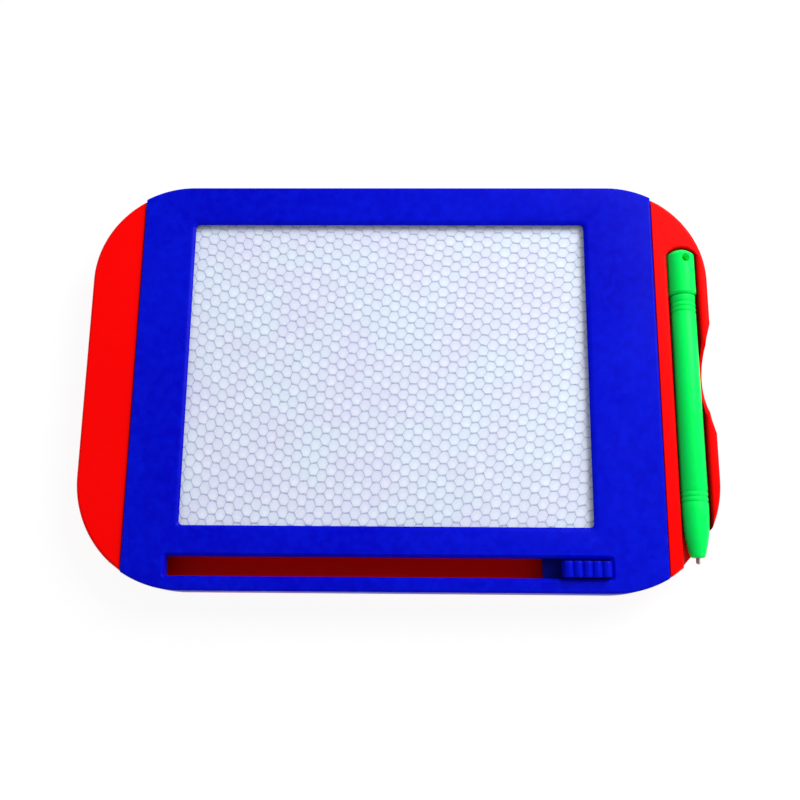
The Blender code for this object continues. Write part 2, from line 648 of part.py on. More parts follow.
def opening_cutter(name, centre, size, corner, bevel_width, bevel_depth, depth):
    """A straight-sided opening through the plate with a sloping lip at the frame's face."""
    levels = [(0, FRAME_HEIGHT - depth), (0, FRAME_HEIGHT - bevel_depth), (bevel_width, FRAME_HEIGHT),
              (bevel_width, FRAME_HEIGHT + OVERRUN)]
    rings = []
    for grow, height in levels:
        outline = rounded_rectangle(*centre, size[0] + 2 * grow, size[1] + 2 * grow, corner + grow)
        rings.append([(x, y, height) for x, y in outline])
    bm = bmesh.new()
    add_loft(bm, rings)
    return finish_tool(bm, name)


def build_front_frame(material):
    """The blue frame: window, eraser slot, skirt, rims and screw posts in one moulding."""
    rings = [frame_ring(0, SKIRT_BOTTOM)]
    for step in range(SMALL_STEPS + 1):
        angle = step / SMALL_STEPS * math.pi / 2
        inset = FRAME_EDGE_RADIUS * (1 - math.cos(angle))
        rings.append(frame_ring(inset, FRAME_HEIGHT - FRAME_EDGE_RADIUS * (1 - math.sin(angle))))
    bm = bmesh.new()
    add_loft(bm, rings)
    frame = finish_object(bm, "front_frame", material)
    cut(frame, frame_cavity_cutter())
    join(frame, screw_posts())
    cut(frame, opening_cutter("window_cutter", (WINDOW_X, WINDOW_Y), (WINDOW_LENGTH, WINDOW_WIDTH),
                              WINDOW_CORNER_RADIUS, WINDOW_LIP_WIDTH, WINDOW_LIP_DEPTH,
                              FRAME_PLATE + OVERRUN))
    cut(frame, opening_cutter("slot_cutter", (SLOT_X, SLOT_Y), (SLOT_LENGTH, SLOT_WIDTH),
                              SLOT_CORNER_RADIUS, SLOT_BEVEL, SLOT_BEVEL,
                              FRAME_PLATE + SLOT_RIM_DEPTH + OVERRUN))
    cut(frame, post_hole_cutter())
    return frame


def build_screws(material):
    """Eight self-tapping screws, each a pan head, a shank and a point."""
    point_base = SCREW_TIP - SCREW_POINT_LENGTH
    crown = SCREW_HEAD_HEIGHT / 3
    profile = [(0, SCREW_BOTTOM), (SCREW_HEAD_RADIUS - crown, SCREW_BOTTOM),
               (SCREW_HEAD_RADIUS, SCREW_BOTTOM + crown), (SCREW_HEAD_RADIUS, SCREW_HEAD_TOP),
               (SCREW_SHANK_RADIUS, SCREW_HEAD_TOP), (SCREW_SHANK_RADIUS, point_base), (0, SCREW_TIP)]
    for number, (x, y) in enumerate(screw_places(), start=1):
        bm = bmesh.new()
        add_turned(bm, profile, Matrix.Translation((x, y, 0)), SCREW_SIDES)
        finish_object(bm, "screw_%d" % number, material, origin=(x, y, 0))


# Drawing screen

def add_plate_with_holes(bm, outline, holes, bottom, top):
    """A flat plate with any number of holes, filled between its outlines and then thickened."""
    edges = []
    for loop in [outline] + holes:
        verts = [bm.verts.new((x, y, top)) for x, y in loop]
        edges += [bm.edges.new((verts[i - 1], verts[i])) for i in range(len(verts))]
    bmesh.ops.triangle_fill(bm, use_beauty=True, use_dissolve=False, edges=edges)
    extruded = bmesh.ops.extrude_face_region(bm, geom=list(bm.faces))
    moved = [item for item in extruded["geom"] if isinstance(item, bmesh.types.BMVert)]
    bmesh.ops.translate(bm, verts=moved, vec=(0, 0, bottom - top))


def honeycomb_cells(length, width):
    """Flat-topped hexagons in columns, each column half a cell off the last, whole cells only."""
    radius = (CELL_PITCH - CELL_WALL) / math.sqrt(3)
    column_step = CELL_PITCH * math.sqrt(3) / 2
    columns = int((length / 2 - CELL_WALL - radius) / column_step)
    cells = []
    for column in range(-columns, columns + 1):
        offset = CELL_PITCH / 2 if column % 2 else 0.0
        rows = int((width / 2 - CELL_WALL - CELL_PITCH / 2 + offset) / CELL_PITCH)
        for row in range(-rows, rows + 1):
            x = WINDOW_X + column * column_step
            y = WINDOW_Y + row * CELL_PITCH - offset
            if abs(y - WINDOW_Y) + CELL_PITCH / 2 > width / 2 - CELL_WALL:
                continue
            corners = [k * math.pi / 3 for k in range(6)]
            cells.append([(x + radius * math.cos(a), y + radius * math.sin(a)) for a in corners])
    return cells


def build_screen(film_material, white_material, tape_material, seal_material):
    """The sealed drawing panel: film, honeycomb, edge seal and back sheet, taped to the frame."""
    outer = rounded_rectangle(WINDOW_X, WINDOW_Y, SCREEN_LENGTH, SCREEN_WIDTH)
    tape_gap = 2 * (SCREEN_OVERLAP - TAPE_SETBACK)
    tape_inner = rounded_rectangle(WINDOW_X, WINDOW_Y, SCREEN_LENGTH - tape_gap, SCREEN_WIDTH - tape_gap)
    bm = bmesh.new()
    add_plate_with_holes(bm, outer, [tape_inner], TAPE_TOP - TAPE_THICKNESS, TAPE_TOP)
    finish_object(bm, "screen_tape", tape_material)

    bm = bmesh.new()
    add_prism(bm, outer, FILM_TOP - FILM_THICKNESS, FILM_TOP)
    finish_object(bm, "screen_front_film", film_material)

    core_length = SCREEN_LENGTH - 2 * SEAL_WIDTH - 2 * FIT_GAP
    core_width = SCREEN_WIDTH - 2 * SEAL_WIDTH - 2 * FIT_GAP
    bm = bmesh.new()
    add_plate_with_holes(bm, rounded_rectangle(WINDOW_X, WINDOW_Y, core_length, core_width),
                         honeycomb_cells(core_length, core_width), CORE_TOP - CORE_THICKNESS, CORE_TOP)
    finish_object(bm, "honeycomb_core", white_material)

    seal_inner = rounded_rectangle(WINDOW_X, WINDOW_Y, core_length + 2 * FIT_GAP, core_width + 2 * FIT_GAP)
    bm = bmesh.new()
    add_plate_with_holes(bm, outer, [seal_inner], CORE_TOP - CORE_THICKNESS, CORE_TOP)
    finish_object(bm, "screen_edge_seal", seal_material)

    bm = bmesh.new()
    add_prism(bm, outer, BACK_SHEET_TOP - BACK_SHEET_THICKNESS, BACK_SHEET_TOP)
    finish_object(bm, "screen_back_sheet", white_material)


# Eraser

def build_slider_arm(material):
    """Foot plate under the slot and a bar behind the screen, in one moulding."""
    block_low = SLOT_Y - FOOT_WIDTH / 2
    block_high = SLOT_Y + FOOT_WIDTH / 2
    half_bar = BAR_WIDTH / 2
    bm = bmesh.new()
    add_box(bm, (KNOB_X - half_bar, block_low, BAR_BOTTOM), (KNOB_X + half_bar, BAR_END_Y, BAR_TOP))
    arm = finish_object(bm, "slider_arm", material, origin=(KNOB_X, SLOT_Y, BAR_BOTTOM))

    bm = bmesh.new()
    half_length, chamfer = FOOT_LENGTH / 2, FOOT_CHAMFER
    outline = [(half_length - chamfer, block_low), (half_length, block_low + FOOT_OVERLAP),
               (half_length, block_high), (-half_length, block_high),
               (-half_length, block_low + FOOT_OVERLAP), (-half_length + chamfer, block_low)]
    outline = [(KNOB_X + x, y) for x, y in outline]
    foot_under = FOOT_TOP - FOOT_THICKNESS
    add_prism(bm, outline, foot_under, FOOT_TOP)
    foot = finish_tool(bm, "foot_plate")
    bm = bmesh.new()
    inset = FOOT_THICKNESS / 3
    low = (KNOB_X - half_bar + inset, block_low + inset, BAR_BOTTOM + inset)
    high = (KNOB_X + half_bar - inset, block_high - inset, FOOT_TOP - inset)
    add_box(bm, low, high)
    riser = finish_tool(bm, "foot_riser")
    join(arm, riser)
    join(arm, foot)

    bm = bmesh.new()
    channel_half = MAGNET_WIDTH / 2 + FIT_GAP
    channel_floor = MAGNET_TOP - MAGNET_THICKNESS - FIT_GAP
    low = (KNOB_X - channel_half, WINDOW_BOTTOM - MAGNET_OVERLAP - FIT_GAP, channel_floor)
    add_box(bm, low, (KNOB_X + channel_half, WINDOW_TOP + MAGNET_OVERLAP + FIT_GAP, BAR_TOP + OVERRUN))
    for y in (LOWER_RAIL_Y, UPPER_RAIL_Y):
        groove_half = RAIL_WIDTH / 2 + RUN_GAP
        low = (KNOB_X - half_bar - OVERRUN, y - groove_half, BAR_BOTTOM - OVERRUN)
        add_box(bm, low, (KNOB_X + half_bar + OVERRUN, y + groove_half, RAIL_TOP + FIT_GAP))
    socket = (PRONG_LENGTH / 2 + FIT_GAP, PRONG_WIDTH / 2 + FIT_GAP)
    low = (KNOB_X - socket[0], KNOB_Y - socket[1], FOOT_TOP - PRONG_DEPTH - FIT_GAP)
    add_box(bm, low, (KNOB_X + socket[0], KNOB_Y + socket[1], FOOT_TOP + OVERRUN))
    cut(arm, finish_tool(bm, "arm_cutter"))
    return arm


def build_slider_knob(material):
    """The knob in the slot: a block with five rounded ribs and a prong that plugs into the foot."""
    top = FRAME_HEIGHT + KNOB_RISE
    bottom = FOOT_TOP + FIT_GAP
    valley = top - KNOB_RIB_HEIGHT
    pitch = KNOB_LENGTH / KNOB_RIB_COUNT
    left_x = KNOB_X - KNOB_LENGTH / 2
    section = [(left_x, bottom), (KNOB_X + KNOB_LENGTH / 2, bottom)]
    for rib in reversed(range(KNOB_RIB_COUNT)):
        for step in range(KNOB_RIB_STEPS + 1):
            share = 1 - step / KNOB_RIB_STEPS
            if step == KNOB_RIB_STEPS and rib > 0:
                continue
            height = valley + KNOB_RIB_HEIGHT * math.sin(math.pi * share) ** KNOB_RIB_POWER
            section.append((left_x + (rib + share) * pitch, height))
    half = KNOB_WIDTH / 2
    bm = bmesh.new()
    add_loft(bm, [[(x, KNOB_Y + half, z) for x, z in section], [(x, KNOB_Y - half, z) for x, z in section]])
    knob = finish_object(bm, "slider_knob", material, origin=(KNOB_X, KNOB_Y, bottom))
    bm = bmesh.new()
    low = (KNOB_X - PRONG_LENGTH / 2, KNOB_Y - PRONG_WIDTH / 2, FOOT_TOP - PRONG_DEPTH)
    add_box(bm, low, (KNOB_X + PRONG_LENGTH / 2, KNOB_Y + PRONG_WIDTH / 2, bottom + KNOB_RIB_HEIGHT))
    join(knob, finish_tool(bm, "knob_prong"))
    return knob


def build_eraser_magnet(material):
    """A flexible magnet strip in the bar's channel, as long as the window is high."""
    half = MAGNET_WIDTH / 2
    bm = bmesh.new()
    low = (KNOB_X - half, WINDOW_BOTTOM - MAGNET_OVERLAP, MAGNET_TOP - MAGNET_THICKNESS)
    add_box(bm, low, (KNOB_X + half, WINDOW_TOP + MAGNET_OVERLAP, MAGNET_TOP))
    return finish_object(bm, "eraser_magnet", material, origin=(KNOB_X, SLOT_Y, BAR_BOTTOM))


# Pen. Its profiles run along the pen from the end of the cap, which is zero, to the tip.

def pen_place():
    """Puts the pen's own axis along the trough, with its tip towards the board's bottom edge."""
    return Matrix.Translation((TROUGH_X, PEN_END_Y, PEN_AXIS_HEIGHT)) @ Matrix.Rotation(math.pi / 2, 4, "X")


def rings_profile(first, radius_at):
    """Three shallow grooves, one after another, the first at the given place along the pen."""
    points = []
    for ring in range(RING_COUNT):
        start = first + ring * RING_PITCH
        quarter = RING_WIDTH / 4
        points += [(radius_at(start), start), (radius_at(start) - RING_DEPTH, start + quarter),
                   (radius_at(start) - RING_DEPTH, start + RING_WIDTH - quarter),
                   (radius_at(start + RING_WIDTH), start + RING_WIDTH)]
    return points


def build_pen_barrel(material):
    """A turned barrel that swells towards the grip, with two sets of rings and a nose cone."""
    back = CAP_LENGTH + FIT_GAP
    nose_start = back + BARREL_LENGTH - NOSE_LENGTH
    front = back + BARREL_LENGTH
    bore_end = nose_start + BORE_END_FROM_NOSE
    hole = TIP_RADIUS + FIT_GAP

    def radius_at(place):
        share = (place - back) / (nose_start - back)
        return BARREL_BACK_RADIUS + (BARREL_GRIP_RADIUS - BARREL_BACK_RADIUS) * share

    ring_length = (RING_COUNT - 1) * RING_PITCH + RING_WIDTH
    profile = [(BARREL_BORE_RADIUS, back), (radius_at(back), back)]
    profile += rings_profile(back + BACK_RINGS_FROM_END, radius_at)
    profile += rings_profile(nose_start - GRIP_RINGS_FROM_NOSE - ring_length, radius_at)
    profile.append((BARREL_GRIP_RADIUS, nose_start))
    taper = BARREL_GRIP_RADIUS - NOSE_RADIUS
    along, inwards = NOSE_SHOULDER_SHARES
    profile.append((BARREL_GRIP_RADIUS - taper * inwards, nose_start + NOSE_LENGTH * along))
    profile.append((NOSE_RADIUS + taper * NOSE_RIM_SHARE, front - NOSE_EDGE_RADIUS))
    inwards, along = NOSE_EDGE_SHARES
    profile.append((NOSE_RADIUS - NOSE_EDGE_RADIUS * inwards, front - NOSE_EDGE_RADIUS * along))
    profile += [(NOSE_RADIUS - NOSE_EDGE_RADIUS, front), (hole, front), (hole, bore_end),
                (BARREL_BORE_RADIUS, bore_end)]
    bm = bmesh.new()
    add_turned(bm, profile, pen_place(), PEN_SIDES, open_ends=False)
    return finish_object(bm, "pen_barrel", material, origin=(TROUGH_X, PEN_END_Y, PEN_AXIS_HEIGHT))


def build_pen_cap(material):
    """The end cap: a domed knob with a cord hole across it and a plug that fits the barrel."""
    plug = BARREL_BORE_RADIUS - FIT_GAP
    profile = [(0, 0)]
    for step in range(1, SMALL_STEPS + 1):
        angle = step / SMALL_STEPS * math.asin(CAP_RADIUS / DOME_RADIUS)
        profile.append((DOME_RADIUS * math.sin(angle), DOME_RADIUS * (1 - math.cos(angle))))
    neck = CAP_RADIUS - CAP_SHOULDER * CAP_SHOULDER_SHARE
    profile += [(CAP_RADIUS, CAP_LENGTH - CAP_SHOULDER), (neck, CAP_LENGTH), (plug, CAP_LENGTH),
                (plug, CAP_LENGTH + CAP_PLUG_LENGTH), (0, CAP_LENGTH + CAP_PLUG_LENGTH)]
    bm = bmesh.new()
    add_turned(bm, profile, pen_place(), PEN_SIDES)
    cap = finish_object(bm, "pen_end_cap", material, origin=(TROUGH_X, PEN_END_Y, PEN_AXIS_HEIGHT))
    bm = bmesh.new()
    place = Matrix.Translation((TROUGH_X, PEN_END_Y - CORD_HOLE_FROM_END, PEN_AXIS_HEIGHT))
    reach = CAP_RADIUS + OVERRUN
    profile = [(0, -reach), (CORD_HOLE_RADIUS, -reach), (CORD_HOLE_RADIUS, reach), (0, reach)]
    add_turned(bm, profile, place @ Matrix.Rotation(CORD_HOLE_TURN, 4, "Y"), CORD_HOLE_SIDES)
    cut(cap, finish_tool(bm, "cord_hole_cutter"))
    return cap


def build_pen_tip(material):
    """The steel pin, held in the nose by its head."""
    front = CAP_LENGTH + FIT_GAP + BARREL_LENGTH
    head_front = front - NOSE_LENGTH + BORE_END_FROM_NOSE - FIT_GAP
    crown = TIP_RADIUS / 2
    profile = [(0, head_front - TIP_HEAD_LENGTH), (TIP_HEAD_RADIUS, head_front - TIP_HEAD_LENGTH),
               (TIP_HEAD_RADIUS, head_front), (TIP_RADIUS, head_front),
               (TIP_RADIUS, front + TIP_REACH - crown), (TIP_RADIUS - crown, front + TIP_REACH),
               (0, front + TIP_REACH)]
    bm = bmesh.new()
    add_turned(bm, profile, pen_place(), SCREW_SIDES)
    return finish_object(bm, "pen_tip", material, origin=(TROUGH_X, PEN_END_Y, PEN_AXIS_HEIGHT))


def build_pen_magnet(material):
    """The small magnet behind the pin."""
    front = CAP_LENGTH + FIT_GAP + BARREL_LENGTH
    face = front - NOSE_LENGTH + BORE_END_FROM_NOSE - TIP_HEAD_LENGTH - 2 * FIT_GAP
    profile = [(0, face - PEN_MAGNET_LENGTH), (PEN_MAGNET_RADIUS, face - PEN_MAGNET_LENGTH),
               (PEN_MAGNET_RADIUS, face), (0, face)]
    bm = bmesh.new()
    add_turned(bm, profile, pen_place(), SCREW_SIDES)
    return finish_object(bm, "pen_magnet", material, origin=(TROUGH_X, PEN_END_Y, PEN_AXIS_HEIGHT))


def main():
    clear_scene()
    red = make_material("red_plastic", RED, 0.35)
    blue = make_material("blue_plastic", BLUE, 0.32)
    green = make_material("green_plastic", GREEN, 0.30)
    white = make_material("screen_white", WHITE, 0.5)
    film = make_material("clear_film", WHITE, 0.15, alpha=0.25)
    steel = make_material("steel", GREY, 0.3, metallic=1.0)
    magnet = make_material("magnet", DARK, 0.7)
    tape = make_material("tape", GREY, 0.8)
    seal = make_material("seal", WHITE, 0.6)
    build_back_shell(red)
    build_front_frame(blue)
    build_screws(steel)
    build_screen(film, white, tape, seal)
    build_slider_arm(blue)
    build_slider_knob(blue)
    build_eraser_magnet(magnet)
    build_pen_barrel(green)
    build_pen_cap(green)
    build_pen_tip(steel)
    build_pen_magnet(magnet)


main()
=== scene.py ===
# Looks of the child's magnetic drawing board: surfaces, screen, camera and light.
# Metres throughout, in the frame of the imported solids: +X to the pen, +Y to the top edge, +Z up.

import math

import bmesh
import bpy
import numpy as np
from mathutils import Matrix, Vector
from mathutils.geometry import delaunay_2d_cdt


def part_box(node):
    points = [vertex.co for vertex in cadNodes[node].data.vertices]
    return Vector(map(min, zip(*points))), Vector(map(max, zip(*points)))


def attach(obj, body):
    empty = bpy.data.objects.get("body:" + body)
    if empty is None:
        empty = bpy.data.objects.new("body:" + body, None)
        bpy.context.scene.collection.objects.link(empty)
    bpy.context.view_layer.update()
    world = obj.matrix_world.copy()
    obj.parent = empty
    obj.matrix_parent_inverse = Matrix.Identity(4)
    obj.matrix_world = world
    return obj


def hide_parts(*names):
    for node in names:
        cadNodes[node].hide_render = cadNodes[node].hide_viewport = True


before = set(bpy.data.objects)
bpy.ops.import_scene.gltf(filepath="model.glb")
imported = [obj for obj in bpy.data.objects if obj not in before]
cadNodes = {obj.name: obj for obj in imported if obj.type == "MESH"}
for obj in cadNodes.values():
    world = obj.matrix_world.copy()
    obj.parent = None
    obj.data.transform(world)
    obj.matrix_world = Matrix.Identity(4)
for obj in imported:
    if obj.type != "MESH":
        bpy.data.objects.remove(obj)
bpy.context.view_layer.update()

mm = 0.001
mergeDistance = 0.001 * mm
randomSeed = 7


# Shader node helpers

# Most values of a noise lie between these
noiseReach = (0.3, 0.7)


def newMaterial(name):
    material = bpy.data.materials.new(name)
    material.use_nodes = True
    tree = material.node_tree
    return material, tree, tree.nodes["Principled BSDF"]


# Each input takes another node's output, a plain value or a colour of three numbers
def feedNode(tree, node, values):
    for key, value in values.items():
        socket = node.inputs[key]
        if isinstance(value, bpy.types.NodeSocket):
            tree.links.new(value, socket)
        elif socket.type == "RGBA":
            socket.default_value = (*value, 1.0)
        else:
            socket.default_value = value


def addNode(tree, kind, values=None, **settings):
    node = tree.nodes.new(kind)
    for key, value in settings.items():
        setattr(node, key, value)
    feedNode(tree, node, values or {})
    return node


def doMath(tree, operation, first, second=0.0, clamp=False):
    values = {0: first, 1: second}
    return addNode(tree, "ShaderNodeMath", values, operation=operation, use_clamp=clamp).outputs[0]


def doVectorMath(tree, operation, values):
    return addNode(tree, "ShaderNodeVectorMath", values, operation=operation).outputs[0]


def splitVector(tree, vector):
    return addNode(tree, "ShaderNodeSeparateXYZ", {0: vector}).outputs


def remap(tree, value, fromRange, toRange):
    values = {"Value": value, "From Min": fromRange[0], "From Max": fromRange[1], "To Min": toRange[0],
              "To Max": toRange[1]}
    return addNode(tree, "ShaderNodeMapRange", values, clamp=True).outputs["Result"]


def around(middle, spread):
    return (middle - spread, middle + spread)


def mixNumbers(tree, factor, first, second):
    return addNode(tree, "ShaderNodeMix", {0: factor, 2: first, 3: second}, data_type="FLOAT").outputs[0]


def mixColours(tree, factor, first, second):
    return addNode(tree, "ShaderNodeMix", {0: factor, 6: first, 7: second}, data_type="RGBA").outputs[2]


def objectPlace(tree, stretch=(1, 1, 1), turn=0.0):
    place = addNode(tree, "ShaderNodeTexCoord").outputs["Object"]
    if stretch == (1, 1, 1) and turn == 0:
        return place
    values = {"Vector": place, "Scale": stretch, "Rotation": (0, 0, turn)}
    return addNode(tree, "ShaderNodeMapping", values).outputs["Vector"]


# Noise from 0 to 1 whose blotches are about size across
def addNoise(tree, place, size, detail=2.0, distortion=0.0, output="Fac"):
    values = {"Vector": place, "Scale": 1 / size, "Detail": detail, "Distortion": distortion}
    return addNode(tree, "ShaderNodeTexNoise", values).outputs[output]


# Fine curved lines, each seen only where the mask noise is high
def addScratches(tree, look):
    place = objectPlace(tree, (1, look["scratchStretch"], 1), look["scratchTurn"])
    bend = addNoise(tree, place, look["scratchBend"], detail=1.0, output="Color")
    shift = doVectorMath(tree, "SCALE", {0: bend, "Scale": look["scratchBend"] * look["scratchSway"]})
    bent = doVectorMath(tree, "ADD", {0: place, 1: shift})
    values = {"Vector": bent, "Scale": 1 / look["scratchSpacing"]}
    cells = addNode(tree, "ShaderNodeTexVoronoi", values, feature="DISTANCE_TO_EDGE")
    halfWidth = look["scratchWidth"] / look["scratchSpacing"]
    line = remap(tree, cells.outputs["Distance"], (0, halfWidth), (1, 0))
    mask = addNoise(tree, objectPlace(tree), look["scratchPatch"], detail=1.0)
    return doMath(tree, "MULTIPLY", line, remap(tree, mask, look["scratchMask"], (0, 1)))


# Small pale specks: the nearest point of some of the cells
def addSpecks(tree, look):
    values = {"Vector": objectPlace(tree), "Scale": 1 / look["speckSpacing"]}
    cells = addNode(tree, "ShaderNodeTexVoronoi", values)
    reach = look["speckSize"] / look["speckSpacing"] / 2
    spot = remap(tree, cells.outputs["Distance"], (look["speckCore"] * reach, reach), (1, 0))
    channels = addNode(tree, "ShaderNodeSeparateColor", {0: cells.outputs["Color"]})
    chosen = doMath(tree, "GREATER_THAN", channels.outputs[0], 1 - look["speckShare"])
    return doMath(tree, "MULTIPLY", spot, chosen)


def addBump(tree, shader, height, distance, strength):
    values = {"Height": height, "Distance": distance, "Strength": strength}
    feedNode(tree, shader, {"Normal": addNode(tree, "ShaderNodeBump", values).outputs["Normal"]})


# Injection-moulded plastic. Its colour lies between a deep and a pale tone.
def makePlastic(name, look):
    material, tree, shader = newMaterial(name)
    place = objectPlace(tree)
    cloud = addNoise(tree, place, look["cloudSize"], detail=1.0)
    cloud = remap(tree, cloud, noiseReach, (0, look["cloudShare"]))
    mottle = addNoise(tree, place, look["mottleSize"], look["mottleDetail"], look["mottleBend"])
    mottle = remap(tree, mottle, look["mottleReach"], (0, look["mottleShare"]))
    scratches = addScratches(tree, look)
    specks = addSpecks(tree, look)
    worn = addNode(tree, "ShaderNodeNewGeometry").outputs["Pointiness"]
    worn = remap(tree, worn, look["wornReach"], (0, look["wornShare"]))
    share = doMath(tree, "ADD", cloud, mottle)
    share = doMath(tree, "ADD", share, doMath(tree, "MULTIPLY", scratches, look["scratchShare"]))
    share = doMath(tree, "ADD", share, doMath(tree, "MULTIPLY", specks, look["speckTone"]))
    share = doMath(tree, "ADD", share, worn, clamp=True)
    smudge = addNoise(tree, place, look["smudgeSize"])
    roughness = remap(tree, smudge, noiseReach, around(look["roughness"], look["roughnessSpread"]))
    roughening = doMath(tree, "MULTIPLY", scratches, look["scratchRoughness"])
    feedNode(tree, shader, {
        "Base Color": mixColours(tree, share, look["deepColour"], look["paleColour"]),
        "Roughness": doMath(tree, "ADD", roughness, roughening, clamp=True),
        "Specular IOR Level": look["specular"], "Subsurface Weight": look["subsurface"],
        "Subsurface Radius": (1.0, 1.0, 1.0), "Subsurface Scale": look["subsurfaceDepth"],
    })
    peel = addNoise(tree, place, look["peelSize"], detail=1.0)
    grain = addNoise(tree, place, look["grainSize"])
    height = doMath(tree, "ADD", peel, doMath(tree, "MULTIPLY", grain, look["grainHeight"]))
    height = doMath(tree, "SUBTRACT", height, doMath(tree, "MULTIPLY", scratches, look["scratchDepth"]))
    addBump(tree, shader, height, look["peelHeight"], look["bumpStrength"])
    return material


commonPlastic = {
    "cloudSize": 45 * mm, "cloudShare": 0.25, "mottleSize": 2.6 * mm, "mottleShare": 0.35,
    "mottleDetail": 3.0, "mottleBend": 0.4, "mottleReach": (0.35, 0.75), "grainSize": 0.25 * mm,
    "grainHeight": 0.25, "smudgeSize": 14 * mm, "roughness": 0.36, "roughnessSpread": 0.05,
    "specular": 0.12, "peelSize": 1.4 * mm, "peelHeight": 0.02 * mm, "bumpStrength": 0.35,
    "subsurface": 0.0, "subsurfaceDepth": 1.0 * mm, "wornReach": (0.53, 0.62), "wornShare": 0.35,
    "scratchSpacing": 34 * mm, "scratchWidth": 0.06 * mm, "scratchStretch": 0.55, "scratchTurn": 0.6,
    "scratchBend": 40 * mm, "scratchSway": 0.5, "scratchPatch": 13 * mm, "scratchMask": (0.56, 0.64),
    "scratchShare": 0.45, "scratchRoughness": 0.2, "scratchDepth": 0.6, "speckSpacing": 7 * mm,
    "speckSize": 0.45 * mm, "speckCore": 0.4, "speckShare": 0.22, "speckTone": 0.4,
}
redLook = dict(commonPlastic, deepColour=(0.96, 0.0001, 0.0001), paleColour=(1.0, 0.002, 0.0015),
               mottleShare=0.2, specular=0.04)
blueLook = dict(commonPlastic, deepColour=(0.0001, 0.0004, 0.50), paleColour=(0.001, 0.011, 0.79),
                specular=0.045, scratchShare=0.8, speckTone=0.7)
# The arm shows only as a plate deep in the slot. Its blue is made far darker than the frame's: painted shade
# for the shadow it lies in there.
armPaintedShadeLook = dict(blueLook, deepColour=(0.0001, 0.0006, 0.14), paleColour=(0.001, 0.004, 0.24))
greenLook = dict(commonPlastic, deepColour=(0.0005, 0.96, 0.10), paleColour=(0.003, 1.0, 0.18),
                 cloudSize=20 * mm, roughness=0.34, specular=0.07, subsurface=0.35,
                 subsurfaceDepth=1.2 * mm, scratchSpacing=22 * mm, speckShare=0.1)


# The cell walls of the screen: milky, a little darker than the fluid
wallLook = {
    "deepColour": (0.35, 0.40, 0.53), "paleColour": (0.57, 0.63, 0.80), "blotchSize": 1.1 * mm,
    "roughness": 0.5, "roughnessSpread": 0.08, "specular": 0.3, "bumpHeight": 0.03 * mm,
    "bumpStrength": 0.4,
}


def makeCellWalls():
    look = wallLook
    material, tree, shader = newMaterial("cell_walls")
    blotch = addNoise(tree, objectPlace(tree), look["blotchSize"], detail=3.0)
    blotch = remap(tree, blotch, noiseReach, (0, 1))
    feedNode(tree, shader, {
        "Base Color": mixColours(tree, blotch, look["deepColour"], look["paleColour"]),
        "Roughness": remap(tree, blotch, (0, 1), around(look["roughness"], look["roughnessSpread"])),
        "Specular IOR Level": look["specular"],
    })
    addBump(tree, shader, blotch, look["bumpHeight"], look["bumpStrength"])
    return material


# The fluid in the cells: white with lavender and pale cyan patches, and a tone of its own in each
# cell. It also has a painted highlight, a brighter glint low in the cell. The attribute cell_place holds the
# place in the cell, from -1 to 1 each way, and the cell's own tone from 0 to 1.
fluidLook = {
    "lavender": (0.78, 0.80, 1.0), "cyan": (0.765, 0.86, 1.0), "paintedGlintColour": (0.95, 0.98, 1.0),
    "patchSize": 16 * mm, "patchBend": 0.6, "patchReach": (0.38, 0.62), "grainSize": 0.35 * mm,
    "grainShare": 0.12, "toneSpread": 0.04, "paintedGlintDrop": -0.35, "paintedGlintReach": 0.75, "paintedGlintShare": 0.8,
    "paintedGlintTones": (0.3, 1), "paintedGlintToneShares": (0.45, 0.9), "roughness": 0.42, "roughnessSpread": 0.06,
    "specular": 0.25, "bumpHeight": 0.02 * mm, "bumpStrength": 0.5,
}


def makeFluid():
    look = fluidLook
    material, tree, shader = newMaterial("screen_fluid")
    place = objectPlace(tree)
    patch = addNoise(tree, place, look["patchSize"], detail=3.0, distortion=look["patchBend"])
    patch = remap(tree, patch, look["patchReach"], (0, 1))
    colour = mixColours(tree, patch, look["lavender"], look["cyan"])
    cell = addNode(tree, "ShaderNodeAttribute", attribute_name="cell_place")
    parts = splitVector(tree, cell.outputs["Vector"])
    # Painted highlight: a pale glint below the middle of each cell, stronger in cells of higher tone, mixed
    # into the colour
    across = doMath(tree, "MULTIPLY", parts["X"], parts["X"])
    up = doMath(tree, "SUBTRACT", parts["Y"], look["paintedGlintDrop"])
    up = doMath(tree, "MULTIPLY", up, up)
    distance = doMath(tree, "SQRT", doMath(tree, "ADD", across, up))
    chosen = remap(tree, parts["Z"], look["paintedGlintTones"], look["paintedGlintToneShares"])
    spot = remap(tree, distance, (0, look["paintedGlintReach"]), (look["paintedGlintShare"], 0))
    spot = doMath(tree, "MULTIPLY", spot, chosen)
    colour = mixColours(tree, spot, colour, look["paintedGlintColour"])
    grain = addNoise(tree, place, look["grainSize"])
    grainTone = remap(tree, grain, noiseReach, (1 - look["grainShare"], 1))
    tone = remap(tree, parts["Z"], (0, 1), (1 - look["toneSpread"], 1))
    tone = doMath(tree, "MULTIPLY", tone, grainTone)
    feedNode(tree, shader, {
        "Base Color": doVectorMath(tree, "SCALE", {0: colour, "Scale": tone}),
        "Roughness": remap(tree, grain, noiseReach, around(look["roughness"], look["roughnessSpread"])),
        "Specular IOR Level": look["specular"],
    })
    addBump(tree, shader, grain, look["bumpHeight"], look["bumpStrength"])
    return material


# Clear film: nearly see-through from above, hazier and glossier at grazing angles. A face of it
# that is seen from inside is fully clear.
filmLook = {
    "colour": (0.86, 0.89, 1.0), "paleColour": (0.95, 0.96, 1.0), "haze": (0.03, 0.06),
    "edgeBlend": 0.5, "edgePower": 4.0, "edgeGloss": 0.6, "roughness": (0.12, 0.22),
    "waveSize": 30 * mm, "scratchHaze": 0.08, "bumpSize": 6 * mm, "bumpHeight": 0.01 * mm,
    "bumpStrength": 0.3,
}


